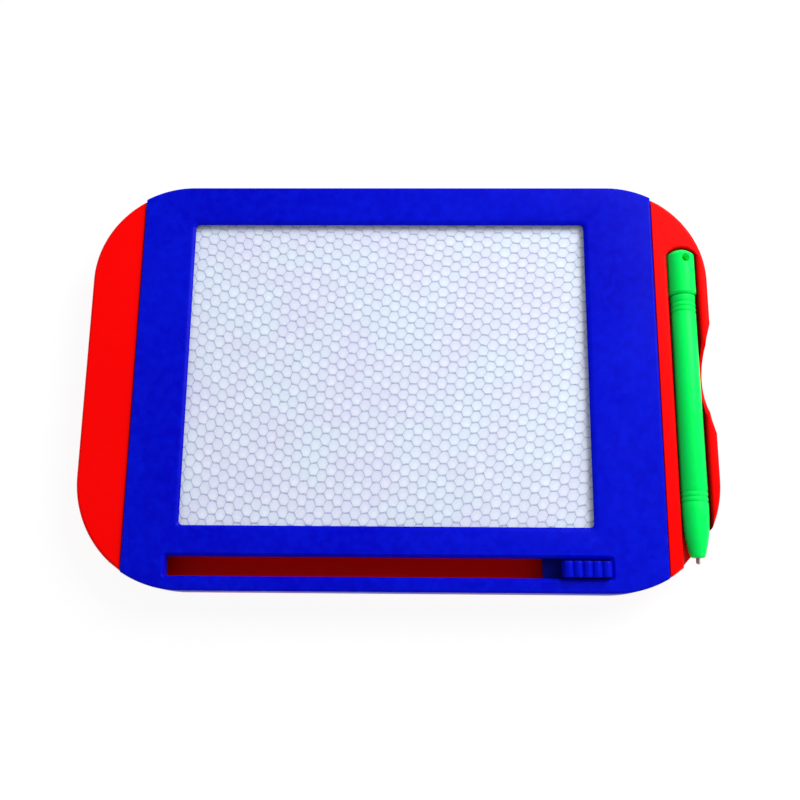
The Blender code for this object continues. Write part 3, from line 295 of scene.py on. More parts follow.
def makeFilm():
    look = filmLook
    material, tree, shader = newMaterial("clear_film")
    place = objectPlace(tree)
    wave = addNoise(tree, place, look["waveSize"])
    haze = remap(tree, wave, noiseReach, look["haze"])
    facing = addNode(tree, "ShaderNodeLayerWeight", {"Blend": look["edgeBlend"]}).outputs["Facing"]
    gloss = doMath(tree, "POWER", facing, look["edgePower"])
    gloss = doMath(tree, "MULTIPLY", gloss, look["edgeGloss"])
    scratches = doMath(tree, "MULTIPLY", addScratches(tree, redLook), look["scratchHaze"])
    alpha = doMath(tree, "ADD", haze, doMath(tree, "ADD", gloss, scratches), clamp=True)
    inside = addNode(tree, "ShaderNodeNewGeometry").outputs["Backfacing"]
    alpha = doMath(tree, "MULTIPLY", alpha, doMath(tree, "SUBTRACT", 1.0, inside))
    tone = remap(tree, wave, noiseReach, (0, 1))
    feedNode(tree, shader, {
        "Base Color": mixColours(tree, tone, look["colour"], look["paleColour"]),
        "Roughness": remap(tree, wave, noiseReach, look["roughness"]), "Alpha": alpha,
    })
    bump = addNoise(tree, place, look["bumpSize"], detail=1.0)
    addBump(tree, shader, bump, look["bumpHeight"], look["bumpStrength"])
    return material


# Metals, rubber, ferrite, foam and bead share one shader with their own values
commonSimple = {"metallic": 0.0, "roughnessSpread": 0.08, "stretch": (1, 1, 1), "bumpStrength": 0.5}
simpleLooks = {
    "zinc_steel": dict(commonSimple, deepColour=(0.42, 0.42, 0.43), paleColour=(0.66, 0.66, 0.67),
                       metallic=1.0, specular=0.5, roughness=0.28, blotchSize=1.2 * mm,
                       grainSize=0.12 * mm, bumpHeight=0.01 * mm, stretch=(1, 1, 0.25)),
    "magnet_strip": dict(commonSimple, deepColour=(0.022, 0.021, 0.022), paleColour=(0.055, 0.052, 0.050),
                         specular=0.35, roughness=0.62, roughnessSpread=0.10, blotchSize=2.5 * mm,
                         grainSize=0.2 * mm, bumpHeight=0.03 * mm, stretch=(1, 0.2, 1)),
    "ferrite": dict(commonSimple, deepColour=(0.045, 0.045, 0.05), paleColour=(0.095, 0.095, 0.10),
                    metallic=0.3, specular=0.4, roughness=0.55, roughnessSpread=0.10,
                    blotchSize=1.4 * mm, grainSize=0.15 * mm, bumpHeight=0.03 * mm),
    "foam_tape": dict(commonSimple, deepColour=(0.26, 0.27, 0.28), paleColour=(0.40, 0.41, 0.42),
                      specular=0.2, roughness=0.85, blotchSize=0.7 * mm, grainSize=0.25 * mm,
                      bumpHeight=0.05 * mm),
    "seal_bead": dict(commonSimple, deepColour=(0.62, 0.64, 0.70), paleColour=(0.78, 0.80, 0.86),
                      specular=0.4, roughness=0.45, blotchSize=3.0 * mm, grainSize=0.5 * mm,
                      bumpHeight=0.04 * mm),
    "back_sheet": dict(commonSimple, deepColour=(0.72, 0.75, 0.86), paleColour=(0.82, 0.85, 0.94),
                       specular=0.35, roughness=0.5, blotchSize=9.0 * mm, grainSize=0.4 * mm,
                       bumpHeight=0.01 * mm),
}


def makeSimple(name):
    look = simpleLooks[name]
    material, tree, shader = newMaterial(name)
    place = objectPlace(tree, look["stretch"])
    blotch = addNoise(tree, place, look["blotchSize"], detail=3.0)
    blotch = remap(tree, blotch, noiseReach, (0, 1))
    grain = addNoise(tree, place, look["grainSize"])
    share = doMath(tree, "MULTIPLY", doMath(tree, "ADD", blotch, grain), 0.5, clamp=True)
    feedNode(tree, shader, {
        "Base Color": mixColours(tree, share, look["deepColour"], look["paleColour"]),
        "Roughness": remap(tree, blotch, (0, 1), around(look["roughness"], look["roughnessSpread"])),
        "Metallic": look["metallic"], "Specular IOR Level": look["specular"],
    })
    addBump(tree, shader, grain, look["bumpHeight"], look["bumpStrength"])
    return material


redPlastic = makePlastic("red_plastic", redLook)
bluePlastic = makePlastic("blue_plastic", blueLook)
# The arm's material is the darker copy of the blue plastic: painted shade
armPaintedShadePlastic = makePlastic("arm_painted_shade_plastic", armPaintedShadeLook)
greenPlastic = makePlastic("green_plastic", greenLook)
cellWalls = makeCellWalls()
screenFluid = makeFluid()
clearFilm = makeFilm()
simple = {name: makeSimple(name) for name in simpleLooks}
print("materials made")


# Mesh helpers

def addItem(name, data):
    item = bpy.data.objects.new(name, data)
    bpy.context.scene.collection.objects.link(item)
    return item


def makeObject(name, mesh, body, slotName, node, *materials):
    item = addItem(name, mesh)
    for material in materials:
        mesh.materials.append(material)
    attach(item, body)
    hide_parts(node)
    return item


def newMesh(name, vertices, faces):
    mesh = bpy.data.meshes.new(name)
    mesh.from_pydata(vertices, [], faces)
    return mesh


def openMesh(mesh):
    bm = bmesh.new()
    bm.from_mesh(mesh)
    return bm


def mergeCorners(bm):
    bmesh.ops.remove_doubles(bm, verts=bm.verts, dist=mergeDistance)


def storeMesh(bm, mesh):
    bmesh.ops.recalc_face_normals(bm, faces=bm.faces)
    print("  ", mesh.name, "open edges:", sum(1 for edge in bm.edges if len(edge.link_faces) != 2))
    bm.to_mesh(mesh)
    bm.free()


def sharpen(mesh, degrees):
    mesh.shade_smooth()
    mesh.set_sharp_from_angle(angle=math.radians(degrees))


# The faces between rings of points, each point joined to its neighbours and to the next ring
def ringFaces(count, sides, closed=False):
    ring = np.arange(count if closed else count - 1)[:, None]
    nextRing = (ring + 1) % count
    side = np.arange(sides)[None, :]
    nextSide = (side + 1) % sides
    corners = [ring * sides + side, ring * sides + nextSide, nextRing * sides + nextSide,
               nextRing * sides + side]
    return np.stack(corners, axis=-1).reshape(-1, 4).tolist()


# A skin over rings of points that closes the first and the last ring
def skinRings(name, rings):
    count, sides = rings.shape[:2]
    faces = ringFaces(count, sides)
    faces.append(list(range(sides))[::-1])
    faces.append(list(range((count - 1) * sides, count * sides)))
    return newMesh(name, rings.reshape(-1, 3).tolist(), faces)


# Corners are (radius, height, rounding). A rounded one becomes a quadratic curve between the
# points at that distance on its two sides: start * (1 - t)^2 + corner * 2t(1 - t) + end * t^2
def roundProfile(corners, steps):
    rounded = []
    for index, (radius, height, rounding) in enumerate(corners):
        if rounding == 0:
            rounded.append((radius, height))
            continue
        before = Vector(corners[index - 1][:2])
        after = Vector(corners[(index + 1) % len(corners)][:2])
        corner = Vector((radius, height))
        start = corner + (before - corner).normalized() * rounding
        end = corner + (after - corner).normalized() * rounding
        for step in range(steps + 1):
            t = step / steps
            rounded.append(tuple(start * (1 - t) ** 2 + corner * 2 * t * (1 - t) + end * t ** 2))
    return rounded


# A profile turned round the local Z axis: the point at angle a is (r cos a, r sin a, h). Its
# ends lie on the axis, or it closes on itself round a bore.
def turnProfile(name, corners, steps, sides, closed=False):
    profile = np.array(roundProfile(corners, steps))
    angles = 2 * math.pi * np.arange(sides) / sides
    x = profile[:, :1] * np.cos(angles)
    y = profile[:, :1] * np.sin(angles)
    z = np.repeat(profile[:, 1:], sides, axis=1)
    vertices = np.stack([x, y, z], axis=-1).reshape(-1, 3)
    mesh = newMesh(name, vertices.tolist(), ringFaces(len(profile), sides, closed))
    bm = openMesh(mesh)
    mergeCorners(bm)
    storeMesh(bm, mesh)
    return mesh


# Marks the edges for the bevel: the sharp ones, but none of a face narrower than leastWidth
def markSharpEdges(bm, degrees, leastWidth):
    weight = bm.edges.layers.float.new("bevel_weight_edge")
    narrow = set()
    for face in bm.faces:
        if 2 * face.calc_area() < leastWidth * face.calc_perimeter():
            narrow.add(face)
    for edge in bm.edges:
        sharp = edge.calc_face_angle(0.0) > math.radians(degrees)
        edge[weight] = float(sharp and not narrow.intersection(edge.link_faces))


def addBevel(item, width, segments, limit):
    bevel = item.modifiers.new("soft_edges", "BEVEL")
    bevel.width = width
    bevel.segments = segments
    bevel.limit_method = limit
    bevel.use_clamp_overlap = False
    return bevel


# The object's mesh with its modifiers applied, in place of the object
def takeMesh(item):
    evaluated = item.evaluated_get(bpy.context.evaluated_depsgraph_get())
    mesh = bpy.data.meshes.new_from_object(evaluated)
    bpy.data.objects.remove(item)
    return mesh


# Takes a cutter away from a mesh for good and removes the cutter
def cutAway(mesh, cutterMesh):
    target, cutter = addItem("cut_target", mesh), addItem("cut_tool", cutterMesh)
    modifier = target.modifiers.new("cut", "BOOLEAN")
    modifier.operation = "DIFFERENCE"
    modifier.solver = "EXACT"
    modifier.object = cutter
    result = takeMesh(target)
    bpy.data.objects.remove(cutter)
    return result


# Casing and eraser arm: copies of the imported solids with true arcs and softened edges
casingLook = {
    "arcCuts": 3, "edgeWidth": 0.16 * mm, "edgeSegments": 2, "edgeAngle": 42.0, "flatAngle": 0.4,
    "narrowFace": 0.1 * mm, "mostCorners": 40, "normalWeight": 100,
}

shellLow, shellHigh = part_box("back_shell")
topCornerRadius = 32 * mm
bottomCornerRadius = 35 * mm
leastArcReach = 20 * mm
longestArcStep = 8 * mm
reachTolerance = 0.02 * mm
leastTurnedArea = 1e-12
mostCoverShare = 1.0005
# The kind of result and the tolerance given to delaunay_2d_cdt
trianglesInside = 1
sameCorner = mergeDistance / 100


# The board's four large corners: centre x, centre y and the side that each lies on
def largeCorners():
    corners = []
    for sideX, endX in ((-1, shellLow.x), (1, shellHigh.x)):
        corners.append((endX - sideX * topCornerRadius, shellHigh.y - topCornerRadius, sideX, 1))
        corners.append((endX - sideX * bottomCornerRadius, shellLow.y + bottomCornerRadius, sideX, -1))
    return corners


# Divides each straight step of a large corner and moves the new points out to the arc, whose
# radius at that level is the distance of the step's own ends from the corner's centre
def roundLargeCorners(bm, cuts):
    arcReach = bm.verts.layers.float.new("arc_reach")
    for centreX, centreY, sideX, sideY in largeCorners():
        centre = Vector((centreX, centreY))
        for vertex in bm.verts:
            offset = vertex.co.xy - centre
            inCorner = offset.x * sideX > -mergeDistance and offset.y * sideY > -mergeDistance
            vertex[arcReach] = offset.length if inCorner else 0.0
        steps = []
        for edge in bm.edges:
            near, far = sorted(vertex[arcReach] for vertex in edge.verts)
            onArc = near > leastArcReach and far - near < reachTolerance
            level = abs(edge.verts[0].co.z - edge.verts[1].co.z) < mergeDistance
            if onArc and level and edge.calc_length() < longestArcStep:
                steps.append(edge)
        made = bmesh.ops.subdivide_edges(bm, edges=steps, cuts=cuts)
        for item in made["geom_inner"]:
            if isinstance(item, bmesh.types.BMVert):
                item.co.xy = centre + (item.co.xy - centre).normalized() * item[arcReach]
    bm.verts.layers.float.remove(arcReach)


# A face's own triangles can cross where its outline is long and turns inwards. Such a face is
# divided again, into triangles that keep to its outline.
def divideFaces(bm):
    covered = {}
    turned = set()
    for loops in bm.calc_loop_triangles():
        a, b, c = (loop.vert.co for loop in loops)
        cross = (b - a).cross(c - a) / 2
        face = loops[0].face
        covered[face] = covered.get(face, 0.0) + cross.length
        if cross.dot(face.normal) < -leastTurnedArea:
            turned.add(face)
    faulty = [face for face in bm.faces
              if face in turned or covered[face] > mostCoverShare * face.calc_area()]
    divided = 0
    for face in faulty:
        flat = face.normal.to_track_quat("Z", "Y").to_matrix().inverted()
        corners = list(face.verts)
        places = [(flat @ vertex.co).xy for vertex in corners]
        made = delaunay_2d_cdt(places, [], [list(range(len(corners)))], trianglesInside, sameCorner)
        whole = len(made[0]) == len(corners) and all(len(sources) == 1 for sources in made[3])
        if whole:
            bmesh.ops.delete(bm, geom=[face], context="FACES_ONLY")
            for polygon in made[2]:
                bm.faces.new([corners[made[3][index][0]] for index in polygon])
            divided += 1
    print("   faces divided again:", divided, "of", len(faulty))


def copyCasing(node, name, body, slotName, material):
    look = casingLook
    bm = openMesh(cadNodes[node].data)
    mergeCorners(bm)
    bmesh.ops.dissolve_limit(bm, angle_limit=math.radians(look["flatAngle"]), verts=bm.verts, edges=bm.edges)
    if body == "board":
        roundLargeCorners(bm, look["arcCuts"])
    bmesh.ops.recalc_face_normals(bm, faces=bm.faces)
    longFaces = [face for face in bm.faces if len(face.verts) > look["mostCorners"]]
    bmesh.ops.connect_verts_concave(bm, faces=longFaces)
    markSharpEdges(bm, look["edgeAngle"], look["narrowFace"])
    mesh = bpy.data.meshes.new(name)
    bm.to_mesh(mesh)
    bm.free()
    sharpen(mesh, look["edgeAngle"])
    item = addItem("bevelled", mesh)
    bevel = addBevel(item, look["edgeWidth"], look["edgeSegments"], "WEIGHT")
    bevel.miter_outer = "MITER_ARC"
    mesh = takeMesh(item)
    mesh.name = name
    bm = openMesh(mesh)
    divideFaces(bm)
    storeMesh(bm, mesh)
    item = makeObject(name, mesh, body, slotName, node, material)
    weighted = item.modifiers.new("flat_faces", "WEIGHTED_NORMAL")
    weighted.keep_sharp = False
    weighted.weight = look["normalWeight"]


copyCasing("back_shell", "back_casing", "board", "red_plastic", redPlastic)
copyCasing("front_frame", "front_casing", "board", "blue_plastic", bluePlastic)
copyCasing("slider_arm", "eraser_arm", "eraser", "blue_plastic", armPaintedShadePlastic)
print("casing and arm made")


# Honeycomb of the screen. Place (a, b) of the lattice, a columns to the right and b rows up, is
# centre + column * a + row * b + bend * (a^2, a b, b^2), so the columns lean and the rows arch.
combLook = {
    "column": (2.956 * mm, -0.0765 * mm), "row": (0.351 * mm, 3.727 * mm),
    "bendColumns": (0.00348 * mm, 0.00701 * mm), "bendBoth": (0.0077 * mm, -0.0105 * mm),
    "bendRows": (0.0031 * mm, -0.00485 * mm), "spareColumns": 3, "spareRows": 6,
    "jitter": 0.11 * mm, "mostJitter": 0.22 * mm, "levelWall": 0.19 * mm, "slantedWall": 0.07 * mm,
    "leastTurn": 0.2, "plainInset": 0.18, "cornerShare": 0.15, "fluidDrop": 0.10 * mm,
    "leastAreaShare": 0.3, "leastPoolShare": 0.15, "noAreaShare": 1e-6,
}


def latticePlace(a, b):
    terms = ((a, "column"), (b, "row"), (a * a, "bendColumns"), (a * b, "bendBoth"), (b * b, "bendRows"))
    return sum(share[..., None] * np.array(combLook[name]) for share, name in terms)


# Each hexagon's corners, from its right one anticlockwise, in steps of a column and of half a row
hexagonCorners = np.array([(2 / 3, 0), (1 / 3, 1), (-1 / 3, 1), (-2 / 3, 0), (-1 / 3, -1), (1 / 3, -1)])
sidesPerCell = len(hexagonCorners)


# The cells that reach into the rectangle, as an array of cells by six corners by x and y.
# Neighbours share their corners, and each shared corner has one random shift.
def cellOutlines(low, high):
    look = combLook
    half = (high - low) / 2
    columns = int(half[0] / look["column"][0]) + look["spareColumns"]
    rows = int(half[1] / look["row"][1]) + look["spareRows"]
    a, b = np.meshgrid(np.arange(-columns, columns + 1), np.arange(-rows, rows + 1), indexing="ij")
    b = b + 0.5 * (a % 2)
    cornerA = a.ravel()[:, None] + hexagonCorners[None, :, 0]
    cornerB = b.ravel()[:, None] + hexagonCorners[None, :, 1] / 2
    keys = np.stack([np.rint(cornerA * 3), np.rint(cornerB * 2)], axis=-1).reshape(-1, 2)
    shared, which = np.unique(keys, axis=0, return_inverse=True)
    shift = np.random.default_rng(randomSeed).normal(0, look["jitter"], (len(shared), 2))
    shift = np.clip(shift, -look["mostJitter"], look["mostJitter"])
    shift = shift[which.ravel()].reshape(-1, sidesPerCell, 2)
    return np.clip(latticePlace(cornerA, cornerB) + shift + (low + high) / 2, low, high)


def crossOf(first, second):
    return first[..., 0] * second[..., 1] - first[..., 1] * second[..., 0]


def polygonAreas(outlines):
    return crossOf(outlines, np.roll(outlines, -1, axis=1)).sum(axis=1) / 2


# Moves each side of a convex outline inwards by its own distance and meets the sides again.
# With unit inward normals n and distances d from the origin, a corner solves n1.p = d1, n2.p = d2.
# A corner that hardly turns moves towards the middle instead.
def insetOutlines(outlines, distances):
    along = np.roll(outlines, -1, axis=1) - outlines
    length = np.maximum(np.linalg.norm(along, axis=-1, keepdims=True), mergeDistance)
    normal = np.stack([-along[..., 1], along[..., 0]], axis=-1) / length
    reach = (normal * outlines).sum(axis=-1) + distances
    before, reachBefore = np.roll(normal, 1, axis=1), np.roll(reach, 1, axis=1)
    cross = crossOf(before, normal)
    straight = np.abs(cross) < combLook["leastTurn"]
    safe = np.where(straight, 1.0, cross)
    x = (reachBefore * normal[..., 1] - reach * before[..., 1]) / safe
    y = (before[..., 0] * reach - normal[..., 0] * reachBefore) / safe
    middle = outlines.mean(axis=1, keepdims=True)
    plain = outlines + (middle - outlines) * combLook["plainInset"]
    return np.where(straight[..., None], plain, np.stack([x, y], axis=-1))


# Draws the tiles' outer edge down to the bottom and closes it there with a fan round the middle
def closeBelow(bm, bottom):
    rim = [edge for edge in bm.edges if len(edge.link_faces) == 1]
    made = bmesh.ops.extrude_edge_only(bm, edges=rim)["geom"]
    lower = {item for item in made if isinstance(item, bmesh.types.BMVert)}
    for vertex in lower:
        vertex.co.z = bottom
    loop = [item for item in made if isinstance(item, bmesh.types.BMEdge) and set(item.verts) <= lower]
    floor = bmesh.ops.edgeloop_fill(bm, edges=loop)["faces"]
    bmesh.ops.poke(bm, faces=floor)


def makeHoneycomb():
    look = combLook
    coreLow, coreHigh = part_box("honeycomb_core")
    top, fluidTop = coreHigh.z, coreHigh.z - look["fluidDrop"]
    outlines = cellOutlines(np.array(coreLow[:2]), np.array(coreHigh[:2]))
    areas = polygonAreas(outlines)
    whole = np.median(areas)
    reaching = areas > look["noAreaShare"] * whole
    outlines, areas = outlines[reaching], areas[reaching]
    level, slanted = look["levelWall"], look["slantedWall"]
    inner = insetOutlines(outlines, np.array([slanted, level, slanted, slanted, level, slanted]))
    openCell = areas > look["leastAreaShare"] * whole
    openCell &= polygonAreas(inner) > look["leastPoolShare"] * whole
    before, after = np.roll(inner, 1, axis=1), np.roll(inner, -1, axis=1)
    share = look["cornerShare"]
    rounded = np.stack([inner + (before - inner) * share, inner + (after - inner) * share], axis=2)
    rounded = rounded.reshape(-1, 2 * sidesPerCell, 2)
    middle = rounded.mean(axis=1)
    size = np.abs(rounded - middle[:, None]).max(axis=(1, 2))
    tones = np.random.default_rng(randomSeed + 1).random(len(outlines))
    vertices, faces, materialOf, cellPlace = [], [], [], []
    wall, fluid = 0, 1

    def addLayer(points, height, cells):
        z = np.full(points.shape[:-1] + (1,), height)
        local = (points - middle[cells][:, None]) / size[cells][:, None, None]
        tone = np.repeat(tones[cells][:, None, None], points.shape[1], axis=1)
        first = sum(len(block) for block in vertices)
        vertices.append(np.concatenate([points, z], axis=-1).reshape(-1, 3))
        cellPlace.append(np.concatenate([local, tone], axis=-1).reshape(-1, 3))
        return first + np.arange(len(cells) * points.shape[1]).reshape(len(cells), points.shape[1])

    def addFaces(material, *corners):
        made = np.stack(corners, axis=1).tolist()
        faces.extend(made)
        materialOf.extend([material] * len(made))

    cells = np.flatnonzero(openCell)
    outer = addLayer(outlines[cells], top, cells)
    lip = addLayer(rounded[cells], top, cells)
    pool = addLayer(rounded[cells], fluidTop, cells)
    heart = addLayer(middle[cells][:, None], fluidTop, cells)
    solid = addLayer(outlines[~openCell], top, np.flatnonzero(~openCell))
    for k in range(sidesPerCell):
        nextK = (k + 1) % sidesPerCell
        addFaces(wall, outer[:, k], outer[:, nextK], lip[:, 2 * nextK], lip[:, 2 * k + 1])
        addFaces(wall, outer[:, k], lip[:, 2 * k + 1], lip[:, 2 * k])
    for k in range(2 * sidesPerCell):
        nextK = (k + 1) % (2 * sidesPerCell)
        addFaces(wall, lip[:, k], lip[:, nextK], pool[:, nextK], pool[:, k])
        addFaces(fluid, pool[:, k], pool[:, nextK], heart[:, 0])
    addFaces(wall, *solid.T)

    mesh = newMesh("screen_comb", np.concatenate(vertices).tolist(), faces)
    attribute = mesh.attributes.new("cell_place", "FLOAT_VECTOR", "POINT")
    attribute.data.foreach_set("vector", np.concatenate(cellPlace).ravel())
    mesh.polygons.foreach_set("material_index", materialOf)
    bm = openMesh(mesh)
    mergeCorners(bm)
    closeBelow(bm, coreLow.z)
    storeMesh(bm, mesh)
    makeObject("screen_comb", mesh, "board", "screen_white", "honeycomb_core", cellWalls, screenFluid)
    print("honeycomb made:", len(mesh.polygons), "faces")


makeHoneycomb()


# Eraser knob: a block with five rounded ribs. Its top at share u of the length and share v of
# the width is valley + rib * |sin(5 pi u)|^power - drop * |2v - 1|^n.
knobLook = {
    "ribs": 5, "ribHeight": 1.1 * mm, "ribPower": 0.62, "crownDrop": 0.35 * mm, "crownPower": 9,
    "stepsPerRib": 14, "stepsAcross": 18, "prongLength": 6.0 * mm, "prongWidth": 2.0 * mm,
    "prongDepth": 2.2 * mm, "footGap": 0.3 * mm, "edgeWidth": 0.12 * mm, "edgeSegments": 2,
    "edgeAngle": 50.0,
}


def makeKnob():
    low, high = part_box("slider_knob")
    look = knobLook
    bodyBottom = low.z + look["prongDepth"] + look["footGap"]
    columns = look["ribs"] * look["stepsPerRib"] + 1
    rows = look["stepsAcross"] + 1
    u = np.linspace(0, 1, columns)[:, None]
    v = np.linspace(0, 1, rows)[None, :]
    v = 0.5 - 0.5 * np.cos(math.pi * v) * np.ones_like(u)
    ribs = np.abs(np.sin(look["ribs"] * math.pi * u)) ** look["ribPower"]
    valley = high.z - look["ribHeight"]
    z = valley + look["ribHeight"] * ribs - look["crownDrop"] * np.abs(2 * v - 1) ** look["crownPower"]
    x = low.x + (high.x - low.x) * u * np.ones_like(v)
    y = low.y + (high.y - low.y) * v
    vertices = np.stack([x, y, z], axis=-1).reshape(-1, 3)
    rim = [(i, 0) for i in range(columns)] + [(columns - 1, j) for j in range(1, rows)]
    rim += [(i, rows - 1) for i in range(columns - 2, -1, -1)] + [(0, j) for j in range(rows - 2, 0, -1)]
    edge = np.array([i * rows + j for i, j in rim])
    foot = vertices[edge].copy()
    foot[:, 2] = bodyBottom
    i, j = np.meshgrid(np.arange(columns - 1), np.arange(rows - 1), indexing="ij")
    corner = (i * rows + j).ravel()
    faces = np.stack([corner, corner + rows, corner + rows + 1, corner + 1], axis=1).tolist()
    below = len(vertices) + np.arange(len(edge))
    faces += np.stack([np.roll(edge, -1), edge, below, np.roll(below, -1)], axis=1).tolist()
    faces.append(below.tolist())
    mesh = newMesh("eraser_knob", np.concatenate([vertices, foot]).tolist(), faces)
    bm = openMesh(mesh)
    prong = bmesh.ops.create_cube(bm, size=1.0)["verts"]
    prongTop = bodyBottom + look["ribHeight"]
    centre = ((low.x + high.x) / 2, (low.y + high.y) / 2, (low.z + prongTop) / 2)
    bmesh.ops.scale(bm, verts=prong, vec=(look["prongLength"], look["prongWidth"], prongTop - low.z))
    bmesh.ops.translate(bm, verts=prong, vec=centre)
    storeMesh(bm, mesh)
    sharpen(mesh, look["edgeAngle"])
    item = makeObject("eraser_knob", mesh, "eraser", "blue_plastic", "slider_knob", bluePlastic)
    bevel = addBevel(item, look["edgeWidth"], look["edgeSegments"], "ANGLE")
    bevel.angle_limit = math.radians(look["edgeAngle"])


makeKnob()
print("knob made")


# Pen. Its profiles run from the end of the cap, which is zero, to the tip, and are turned round
# the pen's axis, which lies along the trough. Values that end in Edge are roundings.
penLook = {
    "sides": 72, "edgeSteps": 6, "smoothAngle": 50.0, "fitGap": 0.3 * mm, "boreRadius": 2.6 * mm,
    "backRadius": 3.95 * mm, "gripRadius": 4.15 * mm, "barrelLength": 84.0 * mm,
    "noseLength": 13.0 * mm, "noseRadius": 2.2 * mm, "bulgeDrop": 0.19, "bulgeReach": 6.6 * mm,
    "boreEnd": 1.5 * mm, "backEdge": 0.15 * mm, "gripEdge": 1.4 * mm, "bulgeEdge": 2.6 * mm,
    "noseEdge": 0.75 * mm, "boreEdge": 0.1 * mm, "rings": 3, "ringDepth": 0.25 * mm,
    "ringWidth": 0.7 * mm, "ringPitch": 1.6 * mm, "ringSteps": 8, "backRings": 2.0 * mm,
    "gripRings": 3.6 * mm, "capLength": 15.8 * mm, "capRadius": 4.45 * mm, "domeHeight": 2.1 * mm,
    "domeSteps": 12, "shoulder": 0.6 * mm, "shoulderShare": 0.7, "plugLength": 8.0 * mm,
    "domeEdge": 0.3 * mm, "shoulderEdge": 0.25 * mm, "neckEdge": 0.1 * mm, "plugEdge": 0.2 * mm,
    "capEdgeSteps": 5, "capSmoothAngle": 40.0, "tipSides": 32, "tipRadius": 0.65 * mm,
    "tipReach": 2.0 * mm, "tipHeadRadius": 2.0 * mm, "tipHeadLength": 1.0 * mm,
    "tipHeadEdge": 0.2 * mm, "tipEdge": 0.6 * mm,
}

# The cord hole through the cap. Each end widens from the radius to the mouth and on beyond it.
cordLook = {
    "radius": 1.05 * mm, "mouth": 1.45 * mm, "fromEnd": 3.8 * mm, "turn": 12.0, "sides": 32,
    "flareDepth": 0.7 * mm, "mouthDepth": 0.1 * mm, "beyond": 1.0 * mm, "widening": 0.4 * mm,
    "flareEdge": 0.3 * mm, "edgeSteps": 4,
}

capLow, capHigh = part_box("pen_end_cap")
penAxis = Vector(((capLow.x + capHigh.x) / 2, capHigh.y, (capLow.z + capHigh.z) / 2))
penPlace = Matrix.Translation(penAxis) @ Matrix.Rotation(math.pi / 2, 4, "X")


# The grooves, each a cosine dip: radius - depth * (1 - cos(2 pi s)) / 2 at share s of its width
def grooves(first, radiusAt):
    look = penLook
    corners = []
    for ring in range(look["rings"]):
        for step in range(look["ringSteps"] + 1):
            share = step / look["ringSteps"]
            place = first + ring * look["ringPitch"] + look["ringWidth"] * share
            dip = look["ringDepth"] * (1 - math.cos(2 * math.pi * share)) / 2
            corners.append((radiusAt(place) - dip, place, 0))
    return corners


def makeBarrel():
    look = penLook
    back = look["capLength"] + look["fitGap"]
    front = back + look["barrelLength"]
    noseStart = front - look["noseLength"]
    boreEnd = noseStart + look["boreEnd"]
    grip, bore, nose = look["gripRadius"], look["boreRadius"], look["noseRadius"]
    bulge = grip - (grip - nose) * look["bulgeDrop"]
    tipBore = look["tipRadius"] + look["fitGap"]
    ringsLength = (look["rings"] - 1) * look["ringPitch"] + look["ringWidth"]

    def radiusAt(place):
        return look["backRadius"] + (grip - look["backRadius"]) * (place - back) / (noseStart - back)

    corners = [(bore, back, 0), (radiusAt(back), back, look["backEdge"])]
    corners += grooves(back + look["backRings"], radiusAt)
    corners += grooves(noseStart - look["gripRings"] - ringsLength, radiusAt)
    corners += [(grip, noseStart, look["gripEdge"]), (bulge, front - look["bulgeReach"], look["bulgeEdge"]),
                (nose, front, look["noseEdge"]), (tipBore, front, look["boreEdge"]),
                (tipBore, boreEnd, 0), (bore, boreEnd, 0)]
    mesh = turnProfile("pen_body", corners, look["edgeSteps"], look["sides"], closed=True)
    mesh.transform(penPlace)
    sharpen(mesh, look["smoothAngle"])
    makeObject("pen_body", mesh, "pen", "green_plastic", "pen_barrel", greenPlastic)


# The tool for the cord hole, along its own Z axis, with the pen's axis at its middle
def makeCordTool():
    look = cordLook
    surface, radius, mouth = penLook["capRadius"], look["radius"], look["mouth"]
    half = [(0.0, surface + look["beyond"], 0), (mouth + look["widening"], surface + look["beyond"], 0),
            (mouth, surface - look["mouthDepth"], look["flareEdge"]),
            (radius, surface - look["flareDepth"], look["flareEdge"])]
    corners = [(reach, -height, edge) for reach, height, edge in half] + half[::-1]
    return turnProfile("cord_hole", corners, look["edgeSteps"], look["sides"])


# The cap's end is a shallow dome: a part of a sphere whose rim is the cap's radius
def makeCap():
    look = penLook
    radius, length, end = look["capRadius"], look["capLength"], look["capLength"] + look["plugLength"]
    plug = look["boreRadius"] - look["fitGap"]
    neck = radius - look["shoulder"] * look["shoulderShare"]
    dome = (radius ** 2 + look["domeHeight"] ** 2) / (2 * look["domeHeight"])
    angles = [math.asin(radius / dome) * step / look["domeSteps"] for step in range(look["domeSteps"] + 1)]
    corners = [(dome * math.sin(angle), dome * (1 - math.cos(angle)), 0) for angle in angles]
    corners[-1] = (*corners[-1][:2], look["domeEdge"])
    corners += [(radius, length - look["shoulder"], look["shoulderEdge"]), (neck, length, look["neckEdge"]),
                (plug, length, 0), (plug, end, look["plugEdge"]), (0.0, end, 0)]
    mesh = turnProfile("pen_cap", corners, look["capEdgeSteps"], look["sides"])
    mesh.transform(penPlace)
    cutter = makeCordTool()
    place = Matrix.Translation(penAxis - Vector((0, cordLook["fromEnd"], 0)))
    cutter.transform(place @ Matrix.Rotation(math.radians(cordLook["turn"]), 4, "Y"))
    mesh = cutAway(mesh, cutter)
    mesh.name = "pen_cap"
    mesh.materials.clear()
    sharpen(mesh, look["capSmoothAngle"])
    makeObject("pen_cap", mesh, "pen", "green_plastic", "pen_end_cap", greenPlastic)


